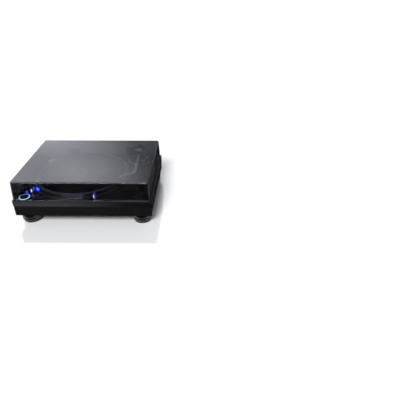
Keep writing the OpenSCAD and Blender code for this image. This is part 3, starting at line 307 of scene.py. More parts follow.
# Pressed wool felt: fibres, no shine, pale fuzz at grazing angles
FELT = Finish("pressed_wool_felt", "1b1c1f", Grain.FELT, 0.9, 0.25, roughness=0.95, spread=0.03, shade=0.3,
              gloss=0.1, sheen=0.1, cloud_mm=6.0)
# Brass under thin gold: warm and bright
GOLD = Finish("gold_plated_brass", "cfa54a", Grain.POLISHED, 2.0, 0.004, metallic=1.0, roughness=0.18)
# Copper wire in clear enamel: reddish turns that catch the light one by one
COPPER = Finish("enamelled_copper_wire", "a0562c", Grain.TURNED, 0.7, 0.08, metallic=0.9, roughness=0.35)
# Green lacquer over copper tracks: patchy shine
CIRCUIT = Finish("circuit_board_lacquer", "123f28", Grain.PAINT, 1.0, 0.03, roughness=0.3, shade=0.3,
                 cloud_mm=4.0)
# Sintered ferrite: dull dark grey, slightly grainy
FERRITE = Finish("sintered_ferrite", "2a2a2c", Grain.MOULDED, 0.5, 0.03, roughness=0.6)
# Cast acrylic with a grey dye: clear, mirror smooth, darkens what lies behind
ACRYLIC = Finish("smoked_acrylic", "8c8c94", Grain.POLISHED, 60.0, 0.002, roughness=0.02, spread=0.0,
                 shade=0.03, ior=1.49, transmission=1.0, cloud_mm=180.0)
# The walls of the same cover, dyed darker than its top: painted shade that keeps the walls dark
ACRYLIC_PAINTED_SHADE_WALL = replace(ACRYLIC, name="smoked_acrylic_wall_painted_shade", colour="5c5c64")
# Frosted lenses with light-emitting diodes behind them: flat bright patches
DIODE = Finish("lit_diode", "dff4ff", Grain.POLISHED, 1.0, 0.01, roughness=0.2, glow="d8f0ff",
               glow_strength=15.0)
START_GLOW = replace(DIODE, name="lit_start_ring", colour="bfeeff", roughness=0.35, glow="a8e2ff",
                     glow_strength=10.0)
STROBE_GLOW = replace(DIODE, name="lit_strobe_lens", colour="c8f2ff", glow="3f66ff", glow_strength=140.0)
LAMP_GLOW = replace(DIODE, name="lit_stylus_lamp", colour="e6f4ff", glow="5f86ff", glow_strength=140.0)
# A glowing bar that paints the highlight on the side of the stylus light's post
POST_HIGHLIGHT_GLOW = replace(DIODE, name="painted_post_highlight", glow_strength=70.0)
# A blue glow that paints the blue light falling on the strobe tower's sides and round the stylus light's post
BLUE_GLOW_PAINT = replace(DIODE, name="painted_blue_glow", colour="27408f", glow="1c38ff", glow_strength=11.0)
# Screen-printed ink: flat off-white
PRINT = Finish("white_screen_print", "b9bcc0", Grain.PAINT, 0.6, 0.004, roughness=0.5)
# Rings of coloured moulded plastic: plain with a soft shine
RED_RING = Finish("red_moulded_ring", "8c1414", Grain.MOULDED, 0.6, 0.01, roughness=0.35)
WHITE_RING = replace(RED_RING, name="white_moulded_ring", colour="d8d8d4")


def ease(mesh: bmesh.types.BMesh, geom: Sequence[Any], size: float, segments: int,
         affect: str = "EDGES") -> None:
    """Rounds edges or corners of a mesh.

    Args:
        mesh: Mesh that is changed.
        geom: Edges or corners to round.
        size: How far they are rounded.
        segments: Faces across a round.
        affect: Whether EDGES or VERTICES are rounded.
    """
    bmesh.ops.bevel(mesh, geom=geom, offset=size, offset_type="OFFSET", affect=affect, segments=segments,
                    profile=0.5, material=-1)


class Former:
    """Shapes one piece out of parts that bmesh operators make, in millimetres."""

    def __init__(self) -> None:
        """Starts with an empty mesh."""
        self._mesh = bmesh.new()

    def take(self, part: bmesh.types.BMesh, place: Matrix, finish: int | None) -> None:
        """Closes a part's seams, puts it in its place and adds it to the piece.

        Args:
            part: Mesh of the part, which is used up.
            place: Where the part goes, in millimetres.
            finish: Number of the part's finish, or None where its faces have their numbers already.
        """
        bmesh.ops.remove_doubles(part, verts=part.verts[:], dist=WELD)
        bmesh.ops.recalc_face_normals(part, faces=part.faces[:])
        for face in part.faces:
            face.material_index = face.material_index if finish is None else finish
            face.smooth = True
        bmesh.ops.transform(part, matrix=Matrix.Scale(MM, 4) @ place, verts=part.verts[:])
        carrier = bpy.data.meshes.new("part")
        part.to_mesh(carrier)
        part.free()
        self._mesh.from_mesh(carrier)
        bpy.data.meshes.remove(carrier)

    def spun(self, profile: Sequence[Point], place: Matrix, rounds: dict[int, float] | None = None,
             finish: int = 0, steps: int = 96, closed: bool = False) -> None:
        """Spins a profile about the vertical.

        Args:
            profile: Radius and height of each corner.
            place: Where the part goes.
            rounds: How far corners are rounded, by their number.
            finish: Number of the part's finish.
            steps: Faces round the part.
            closed: Whether the last corner joins the first.
        """
        part = bmesh.new()
        corners = [part.verts.new((r, 0, z)) for r, z in profile]
        for a, b in zip(corners, corners[1:] + corners[:1] if closed else corners[1:]):
            part.edges.new((a, b))
        for number, size in (rounds or {}).items():
            ease(part, [corners[number]], size, 4, "VERTICES")
        bmesh.ops.spin(part, geom=part.verts[:] + part.edges[:], cent=(0, 0, 0), axis=(0, 0, 1),
                       angle=FULL_TURN, steps=steps, use_merge=True)
        self.take(part, place, finish)

    def plate(self, outline: Sequence[Point], height: float, place: Matrix, edge: float = 0.4,
              rounds: dict[int, float] | float = 0.0, finish: int = 0) -> None:
        """Raises an outline to a plate with eased edges.

        Args:
            outline: Corners of the outline.
            height: Thickness of the plate.
            place: Where the part goes.
            edge: How far the edges of both flat faces are eased.
            rounds: How far corners are rounded: one size for all, or sizes by number.
            finish: Number of the part's finish.
        """
        part = bmesh.new()
        corners = [part.verts.new((x, y, 0)) for x, y in outline]
        part.faces.new(corners)
        sizes = rounds if isinstance(rounds, dict) else {i: rounds for i in range(len(corners)) if rounds}
        for number, size in sizes.items():
            ease(part, [corners[number]], size, 5, "VERTICES")
        raised = bmesh.ops.extrude_face_region(part, geom=part.faces[:])["geom"]
        bmesh.ops.translate(part, verts=[v for v in raised if isinstance(v, bmesh.types.BMVert)],
                            vec=(0, 0, height))
        if edge:
            rim = [e for e in part.edges if abs(e.verts[0].co.z - e.verts[1].co.z) < SAME_LEVEL]
            ease(part, rim, edge, 2)
        self.take(part, place, finish)

    def block(self, size: Sequence[float], place: Matrix, edge: float = 0.3, rounds: float = 0.0,
              finish: int = 0) -> None:
        """Makes a block that stands on the middle of its floor.

        Args:
            size: Width, depth and height.
            place: Where the part goes.
            edge: How far the edges are eased.
            rounds: How far the upright edges are rounded.
            finish: Number of the part's finish.
        """
        x, y = size[0] / 2, size[1] / 2
        self.plate([(x, y), (-x, y), (-x, -y), (x, -y)], size[2], place, edge, rounds, finish)

    def studs(self, count: int, turn: Matrix, place: Matrix, radius: float, height: float, sides: int = 8,
              slim: Sequence[float] = (1, 1, 1), finish: int = 0) -> None:
        """Repeats a small stud round the vertical.

        Args:
            count: Number of studs.
            turn: Place of the first stud, seen from the middle.
            place: Where the middle goes.
            radius: Radius of a stud.
            height: Height of a stud.
            sides: Faces round a stud.
            slim: Scale of a stud along its own axes.
            finish: Number of the part's finish.
        """
        part = bmesh.new()
        bmesh.ops.create_cone(part, cap_ends=True, segments=sides, radius1=radius, radius2=radius * 0.72,
                              depth=height, matrix=turn @ Matrix.Diagonal((*slim, 1)))
        bmesh.ops.spin(part, geom=part.verts[:] + part.edges[:] + part.faces[:], cent=(0, 0, 0),
                       axis=(0, 0, 1), angle=FULL_TURN * (count - 1) / count, steps=count - 1,
                       use_duplicate=True)
        self.take(part, place, finish)

    def tube(self, radius: float, runs: Sequence[Point], place: Matrix, finish: int = 0,
             sides: int = 32) -> None:
        """Draws a round tube along straights and bends that lie flat.

        Args:
            radius: Radius of the tube.
            runs: For each run its length and turn: a straight has no turn, and a bend's length is its radius.
            place: Where the tube starts, heading along +X.
            finish: Number of the part's finish.
            sides: Faces round the tube.
        """
        part = bmesh.new()
        bmesh.ops.create_circle(part, cap_ends=True, segments=sides, radius=radius, matrix=LYING)
        rim = part.edges[:]
        here, heading = Vector((0, 0, 0)), 0.0
        for length, turn in runs:
            way = Vector((math.cos(heading), math.sin(heading), 0))
            if turn:
                left = Vector((-way.y, way.x, 0)) * math.copysign(length, turn)
                centre = here + left
                angle = math.radians(turn)
                grown = bmesh.ops.spin(part, geom=rim, cent=centre, axis=(0, 0, 1), angle=angle,
                                       steps=max(4, round(abs(turn) / 4)))["geom_last"]
                here = centre + Matrix.Rotation(angle, 3, "Z") @ -left
                heading += angle
            else:
                grown = bmesh.ops.extrude_edge_only(part, edges=rim)["geom"]
                bmesh.ops.translate(part, verts=[v for v in grown if isinstance(v, bmesh.types.BMVert)],
                                    vec=way * length)
                here = here + way * length
            rim = [e for e in grown if isinstance(e, bmesh.types.BMEdge) and len(e.link_faces) == 1]
        bmesh.ops.contextual_create(part, geom=rim)
        self.take(part, place, finish)

    def done(self, name: str, body: str, finishes: Sequence[Finish],
             stands_for: Sequence[str] = (), crease: float = 35.0) -> None:
        """Makes the piece an object that moves with its body.

        Args:
            name: Name of the piece.
            body: Body that carries it.
            finishes: Finishes, in the order of their numbers.
            stands_for: CAD nodes that it replaces.
            crease: Edges sharper than this many degrees stay sharp.
        """
        mesh = bpy.data.meshes.new(name)
        self._mesh.to_mesh(mesh)
        self._mesh.free()
        for finish in finishes:
            mesh.materials.append(finish.material())
        mesh.set_sharp_from_angle(angle=math.radians(crease))
        piece = bpy.data.objects.new(name, mesh)
        bpy.context.scene.collection.objects.link(piece)
        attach(piece, body)
        if stands_for:
            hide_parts(*stands_for)
        LOG.info("%s rides on %s, %d faces", name, body, len(mesh.polygons))


@dataclass
class Plinth:
    """Chassis, base, inner works and rear sockets: CAD solids with their finishes, and small added pieces."""

    ring_r: float = 5.7
    ring_bore: float = 4.3
    ring_t: float = 0.9
    ring_stand: float = 2.5

    def dress(self) -> None:
        """Gives the CAD solids that stay in sight their finishes."""
        finishes = {
            "top_chassis": DECK_PAINT, "lower_base": BASE_RESIN, "base_screws": STEEL,
            "bearing_housing": GOLD, "stator_coils": COPPER, "stator_board": CIRCUIT, "main_board": CIRCUIT,
            "power_supply": BRUSHED_METAL, "strobe_housing": BLACK_ABS, "strobe_lens": STROBE_GLOW,
            "fader_plate": BLACK_ENAMEL, "fader_track": BRUSHED_METAL, "light_sleeve": BLACK_ABS,
            "jack_panel": BLACK_ABS, "rca_jacks": GOLD, "ground_post": STEEL, "power_inlet": BLACK_ABS,
            "hinge_bases": BLACK_ABS, "hinge_pins": STEEL, "hinge_leaves": BLACK_ABS, "lid_pads": RUBBER,
            "platter_damper": RUBBER, "rotor_magnet": FERRITE, "spindle": STEEL,
            "stylus_light": SATIN_METAL, "stylus_light_lens": LAMP_GLOW, "arm_carriage": DARK_METAL,
            "height_ring": SATIN_METAL, "arm_lock": DARK_METAL, "lift_bar": DARK_METAL,
            "arm_rest": DARK_METAL, "arm_clip": SATIN_METAL, "pivot_screws": STEEL, "arm_shaft": STEEL,
            "headshell": DARK_METAL, "cue_lever": SATIN_METAL,
        }
        for node, finish in finishes.items():
            for slot in frame["nodes"][node].material_slots:
                slot.material = finish.material()

    def build(self) -> None:
        """Adds the coloured rings of the phono jacks."""
        jacks = box_of("rca_jacks")
        face = box_of("jack_panel").high.y + self.ring_stand
        reach = (jacks.high.z - jacks.low.z) / 2
        for name, x, finish in (("left", jacks.low.x + reach, WHITE_RING),
                                ("right", jacks.high.x - reach, RED_RING)):
            ring = Former()
            ring.spun([(self.ring_bore, 0), (self.ring_r, 0), (self.ring_r, self.ring_t),
                       (self.ring_bore, self.ring_t)],
                      at(x, face, jacks.middle.z) @ Matrix.Rotation(math.radians(-90), 4, "X"),
                      {1: 0.2, 2: 0.3}, steps=48, closed=True)
            ring.done(f"jack_ring_{name}", "plinth", [finish])


@dataclass
class Cover:
    """Smoked dust cover with leaning sides and round edges."""

    lean_side: float = 2.5
    lean_front: float = 4.0
    corner: float = 8.0
    edge: float = 4.2
    wall: float = 3.0

    def build(self) -> None:
        """Shapes the cover as a shell that is open below."""
        low, high = box_of("dust_cover")
        mesh = bmesh.new()
        bmesh.ops.create_cube(mesh, size=1.0)
        bmesh.ops.translate(mesh, verts=mesh.verts[:], vec=(0.5, 0.5, 0.5))
        bmesh.ops.scale(mesh, verts=mesh.verts[:], vec=high - low)
        bmesh.ops.translate(mesh, verts=mesh.verts[:], vec=low)
        for corner in mesh.verts:
            if corner.co.z > low.z + 1:
                corner.co.x -= math.copysign(self.lean_side, corner.co.x)
                corner.co.y += self.lean_front if corner.co.y < 0 else 0
        upright = [e for e in mesh.edges if abs(e.verts[0].co.z - e.verts[1].co.z) > 1]
        ease(mesh, upright, self.corner, 8)
        rim = [e for e in mesh.edges if min(v.co.z for v in e.verts) > high.z - SAME_LEVEL]
        ease(mesh, rim, self.edge, 6)
        bmesh.ops.recalc_face_normals(mesh, faces=mesh.faces[:])
        floor = [f for f in mesh.faces if max(v.co.z for v in f.verts) < low.z + SAME_LEVEL]
        bmesh.ops.delete(mesh, geom=floor, context="FACES_ONLY")
        bmesh.ops.solidify(mesh, geom=mesh.faces[:], thickness=self.wall)
        # Faces below the top take the darker wall acrylic: painted shade on the walls
        for face in mesh.faces:
            face.material_index = int(face.calc_center_median().z < high.z - self.edge - self.wall)
        shell = Former()
        shell.take(mesh, Matrix(), None)
        shell.done("cover_shell", "cover", [ACRYLIC, ACRYLIC_PAINTED_SHADE_WALL], ["dust_cover"])


@dataclass
class Platter:
    """Turned platter with a dotted edge, and the felt slipmat on it.

    A row of dots has its share of the way down the edge, the radius of a dot and the number of dots.
    """

    bore: float = 4.72
    groove_r: float = 149.2
    groove_w: float = 0.8
    groove_t: float = 0.6
    rim_w: float = 16.0
    web: float = 6.0
    slope: float = 8.5
    skirt: float = 2.2
    band: Point = (0.1, 0.9)
    band_t: float = 0.12
    band_root: float = 0.3
    dot_h: float = 0.5
    dot_rows: tuple[tuple[float, float, int], ...] = (
        (0.2, 0.85, 189), (0.4, 1.3, 183), (0.61, 0.85, 177), (0.81, 0.85, 171))
    mat_gap: float = 0.2
    steps: int = 192

    def build(self) -> None:
        """Makes the platter with its band of dots, and the slipmat."""
        axis = pivot_of("platter_spin")
        self._disc(at(axis.x, axis.y, 0))
        self._mat(at(axis.x, axis.y, 0))

    def _disc(self, place: Matrix) -> None:
        """Makes the metal disc and its dots.

        Args:
            place: Where its axis stands.
        """
        box = box_of("platter")
        foot_r, low, top = box.radius, box.low.z, box.high.z
        top_r, inner = foot_r - self.slope, foot_r - self.rim_w
        groove, wide, deep = self.groove_r, self.groove_w, self.groove_t
        disc = Former()
        disc.spun([
            (self.bore, top), (groove - deep, top), (groove, top - deep), (groove + wide, top - deep),
            (groove + wide + deep, top), (top_r, top), (foot_r, low + self.skirt), (foot_r, low + 1),
            (foot_r - 1, low), (inner, low), (inner, top - self.web), (self.bore, top - self.web),
        ], place, {5: 0.7, 6: 0.5, 7: 0.4}, steps=self.steps, closed=True)
        start, end = Vector((top_r, top)), Vector((foot_r, low + self.skirt))
        out = Vector((start.y - end.y, end.x - start.x)).normalized()
        upper, lower = (start.lerp(end, share) for share in self.band)
        disc.spun([tuple(upper - out * self.band_root), tuple(upper + out * self.band_t),
                   tuple(lower + out * self.band_t), tuple(lower - out * self.band_root)],
                  place, finish=1, steps=self.steps, closed=True)
        tilt = Matrix.Rotation(math.atan2(out.x, out.y), 4, "Y")
        for share, size, count in self.dot_rows:
            spot = start.lerp(end, share) + out * (self.band_t + 0.1)
            disc.studs(count, Matrix.Translation((spot.x, 0, spot.y)) @ tilt, place, size, self.dot_h,
                       finish=2)
        turned = replace(TURNED, name="turned_platter", centre=tuple(place.translation.xy))
        disc.done("platter_disc", "platter", [turned, BLACK_ENAMEL, DOT_METAL], ["platter"])

    def _mat(self, place: Matrix) -> None:
        """Makes the slipmat.

        Args:
            place: Where its axis stands.
        """
        box = box_of("slipmat")
        bore, low, top = self.bore + self.mat_gap, box.low.z, box.high.z
        mat = Former()
        mat.spun([(bore, low), (box.radius, low), (box.radius, top), (bore, top)], place,
                 {1: 0.5, 2: 0.9, 3: 0.3}, steps=self.steps, closed=True)
        mat.done("slipmat_felt", "slipmat", [FELT], ["slipmat"])


@dataclass
class Feet:
    """Four round feet: gloss shells over rubber soles."""

    sole_r: float = 27.0
    sole_h: float = 5.5
    waist_in: float = 1.5
    groove_z: float = 19.0
    groove_t: float = 0.8
    shoulder: float = 7.6
    top: float = 37.7
    stem_r: float = 5.0

    def build(self) -> None:
        """Makes each foot where its CAD solid stands."""
        z, sole, top = self.groove_z, self.sole_h, self.top
        for name in ("front_left", "front_right", "rear_left", "rear_right"):
            box = box_of(f"foot_{name}")
            r, head = box.radius, box.high.z
            waist = r - self.waist_in
            groove = waist - self.groove_t
            foot = Former()
            foot.spun([
                (0, sole), (waist - 3.2, sole), (waist - 1.2, sole + 1), (waist, z - 5), (waist, z - 1),
                (groove, z - 0.6), (groove, z + 0.6), (waist + 0.3, z + 1), (r, z + self.shoulder),
                (r, top - 3), (r - 2, top), (self.stem_r, top), (self.stem_r, head), (0, head),
            ], box.stand(), {2: 0.8, 3: 1.5, 4: 0.2, 7: 0.2, 8: 1.5, 9: 0.8, 10: 0.8})
            foot.spun([(0, 0), (self.sole_r, 0), (self.sole_r + 1.5, 0.8), (waist - 2.0, sole - 0.4),
                       (waist - 3.4, sole), (0, sole)], box.stand(), {1: 0.4, 2: 0.4, 3: 0.4}, finish=1)
            foot.done(f"foot_shell_{name}", f"foot_{name}", [FOOT_ABS, RUBBER],
                      [f"foot_{name}"])


@dataclass
class Controls:
    """Buttons, knobs, fader and lights on the deck, and glowing pieces that paint highlights and glow beside
    the lights.
    """

    deck: float = 94.0
    start_r: float = 14.6
    start_gap: float = 0.35
    speed_size: Point = (18.0, 9.0)
    speed_mark: Size = (5.0, 0.8, 0.12)
    knob_r: float = 13.6
    knob_h: float = 5.5
    grip_foot: float = 4.9
    grip: Point = (22.0, 5.0)
    grip_mark: Size = (7.0, 0.8, 0.1)
    tick_step: float = 5.0
    tick_gap: float = 5.0
    tick_size: Point = (0.45, 0.08)
    fader_stem: Size = (4.2, 8.0, 16.0)
    fader_lift: float = 1.8
    cap_r: float = 4.5
    flange_r: float = 6.3
    adaptor_bore: float = 3.7
    # Place and sizes of the glowing bar and panes that paint a highlight and blue glow on the strobe tower's
    # side
    highlight_heading: float = 324.0
    highlight_size: Size = (0.6, 2.4, 11.0)
    glow_pane_size: Size = (0.6, 8.0, 7.0)
    glow_pane_turns: Point = (-44.0, 30.0)
    # Place and sizes of the glowing bar and thin ring that paint a highlight and a blue halo on the stylus
    # light's post
    post_heading: float = 220.0
    post_r: float = 3.75
    post_highlight: Size = (0.5, 1.2, 12.0)
    halo: Point = (3.9, 4.02)
    halo_down: Point = (8.5, 5.5)

    def build(self) -> None:
        """Makes each control where its CAD solid stands."""
        self._start()
        self._speeds()
        self._power()
        self._fader()
        self._small_buttons()
        self._adaptor()
        self._lights()

    def _start(self) -> None:
        """Makes the dished start button and the lit ring round it."""
        box = box_of("start_stop_button")
        r, low, top = self.start_r, box.low.z, box.high.z
        brushed = replace(TURNED, name="turned_start_button", colour="5a5d63", grain_mm=0.5,
                          centre=tuple(box.middle.xy))
        button = Former()
        button.spun([(0, top - 0.5), (r * 0.7, top - 0.4), (r - 0.9, top), (r, top - 0.7), (r, low),
                     (0, low)], box.stand(), {1: 2.0, 2: 0.4})
        button.done("start_button_cap", "start_button", [brushed], ["start_stop_button"])
        lens = box_of("start_ring")
        bore, r, low, top = r + self.start_gap, lens.radius, lens.low.z, lens.high.z
        ring = Former()
        ring.spun([(bore, low), (r, low), (r, top - 0.5), (r - 0.7, top), (bore + 0.65, top),
                   (bore, top - 0.4)], box.stand(), {2: 0.3, 3: 0.3, 4: 0.3}, closed=True)
        ring.done("start_ring_lens", "plinth", [START_GLOW], ["start_ring"])

    def _speeds(self) -> None:
        """Makes the two speed buttons and the diode of the chosen speed."""
        for node, body in (("button_33", "speed_33"), ("button_45", "speed_45")):
            box = box_of(node)
            button = Former()
            button.block((*self.speed_size, box.high.z - box.low.z), box.stand(box.low.z), 0.7, 2.0)
            button.block(self.speed_mark, box.stand(box.high.z), 0.03, finish=1)
            button.done(f"{node}_cap", body, [GREY_ABS, PRINT], [node])
        self._diode("speed_diode", "button_33", -5.0, -8.0)

    def _diode(self, name: str, node: str, right: float, behind: float) -> None:
        """Makes a small lit diode on the deck beside a button.

        Args:
            name: Name of the piece.
            node: CAD node of the button.
            right: How far it stands to the right of the button's middle.
            behind: How far it stands behind the button's middle.
        """
        middle = box_of(node).middle
        diode = Former()
        diode.spun([(0, 0.7), (0.6, 0.6), (0.9, 0), (0, 0)],
                   at(middle.x + right, middle.y + behind, self.deck), {1: 0.3}, steps=20)
        diode.done(name, "plinth", [DIODE])

    def _power(self) -> None:
        """Makes the fluted power knob on the strobe tower."""
        axis = pivot_of("power_turn")
        top = box_of("power_knob").high.z
        r, foot = self.knob_r, axis.z + 0.3
        shoulder, place = foot + self.grip_foot, at(axis.x, axis.y, 0)
        knob = Former()
        knob.spun([(0, foot + self.knob_h), (r - 2, foot + self.knob_h), (r - 0.4, shoulder), (r, foot + 3.8),
                   (r, foot), (0, foot)], place, {1: 0.6, 2: 0.6, 4: 0.3})
        knob.studs(36, outward(r - 0.05, foot + 2), place, 1.0, 0.7, 6, (1.9, 0.55, 1.0))
        knob.block((*self.grip, top - shoulder), at(axis.x, axis.y, shoulder), 0.7, 2.2)
        knob.block(self.grip_mark, at(axis.x + 6.5, axis.y, top - 0.02), 0.02, finish=1)
        knob.done("power_knob_cap", "power_switch", [BLACK_ABS, PRINT], ["power_knob"])

    def _fader(self) -> None:
        """Makes the fader's scale and its hollowed knob."""
        plate = box_of("fader_plate")
        middle = plate.middle
        ticks = Former()
        for number in range(-10, 11):
            long = 5.0 if number % 5 == 0 else 3.0
            for side in (-1, 1):
                x, y = middle.x + side * (self.tick_gap + long / 2), middle.y + number * self.tick_step
                ticks.block((long, *self.tick_size), at(x, y, plate.high.z), 0.0)
        ticks.done("fader_scale", "plinth", [PRINT])
        low, high = box_of("pitch_knob")
        foot = self.deck + self.fader_lift
        width, half, tall = high.x - low.x, (high.y - low.y) / 2, high.z - foot
        dips = ((1, 0), (0.72, 1.3), (0.36, 2.4), (0, 2.8), (-0.36, 2.4), (-0.72, 1.3), (-1, 0))
        scoop = [(half * share, tall - dip) for share, dip in dips]
        knob = Former()
        knob.plate([(-half, 0), (half, 0), *scoop], width,
                   at(middle.x - width / 2, middle.y, foot) @ STANDING, 0.8)
        knob.block((width - 3, 0.9, 0.15), plate.stand(high.z - 2.85), 0.02, finish=1)
        knob.block(self.fader_stem, plate.stand(foot - self.fader_stem[2]), 0.2)
        knob.done("pitch_knob_cap", "pitch", [BLACK_ABS, PRINT], ["pitch_knob"])

    def _small_buttons(self) -> None:
        """Makes the tempo and reset buttons, and the diode beside the reset button."""
        r, wide = self.cap_r, self.flange_r
        for name in ("tempo", "reset"):
            box = box_of(f"{name}_button")
            low, top = box.low.z, box.high.z
            button = Former()
            button.spun([(0, top), (r - 1.3, top), (r, top - 0.8), (r, low + 2), (wide, low + 2), (wide, low),
                         (0, low)], box.stand(), {1: 0.6, 2: 0.4}, steps=48)
            button.done(f"{name}_button_cap", name, [GREY_ABS], [f"{name}_button"])
        self._diode("reset_diode", "reset_button", 0.0, 9.0)

    def _adaptor(self) -> None:
        """Makes the turned adaptor in its recess."""
        box = box_of("adaptor_45")
        bore, r, low, top = self.adaptor_bore, box.radius, box.low.z, box.high.z
        turned = replace(TURNED, name="turned_adaptor", colour="e2e4e8", grain_mm=0.6, metallic=0.5,
                         centre=tuple(box.middle.xy))
        adaptor = Former()
        adaptor.spun([(bore, low), (r, low), (r, low + 4.6), (r - 0.8, low + 5.4), (r - 5.8, top - 1.6),
                      (r - 9, top), (bore + 0.9, top), (bore, top - 0.8)],
                     box.stand(), {1: 0.3, 2: 0.3, 4: 0.6, 5: 0.8}, closed=True)
        adaptor.done("record_adaptor", "adaptor", [turned], ["adaptor_45"])

    def _lights(self) -> None:
        """Makes glowing pieces that paint light: a white highlight and blue glow on the strobe tower's side,
        and a highlight and blue halo on the stylus light's post.
        """
        tower = box_of("strobe_housing")
        # A glowing white bar paints a highlight on the tower's side, and glowing blue panes paint blue glow
        # on its sides
        window = Former()
        panes = [(turn, self.glow_pane_size, 1) for turn in self.glow_pane_turns]
        for turn, size, finish in [(0.0, self.highlight_size, 0), *panes]:
            place = at(tower.middle.x, tower.middle.y, self.deck + 3, self.highlight_heading + turn)
            window.block(size, place @ at(tower.radius, 0, 0), 0.15, finish=finish)
        window.done("strobe_tower_painted_glow", "plinth", [DIODE, BLUE_GLOW_PAINT])
        # A glowing bar on the post's side paints a highlight, and a thin glowing ring round the post paints a
        # blue halo
        post = box_of("stylus_light")
        inner, outer = self.halo
        low, top = (post.high.z - down for down in self.halo_down)
        place = at(post.middle.x, post.middle.y, self.deck + 4, self.post_heading)
        bar = Former()
        bar.block(self.post_highlight, place @ at(self.post_r, 0, 0), 0.03)
        bar.spun([(inner, low), (outer, low), (outer, top), (inner, top)], post.stand(), finish=1, steps=40,
                 closed=True)
        bar.done("stylus_light_painted_glow", "light", [POST_HIGHLIGHT_GLOW, BLUE_GLOW_PAINT])


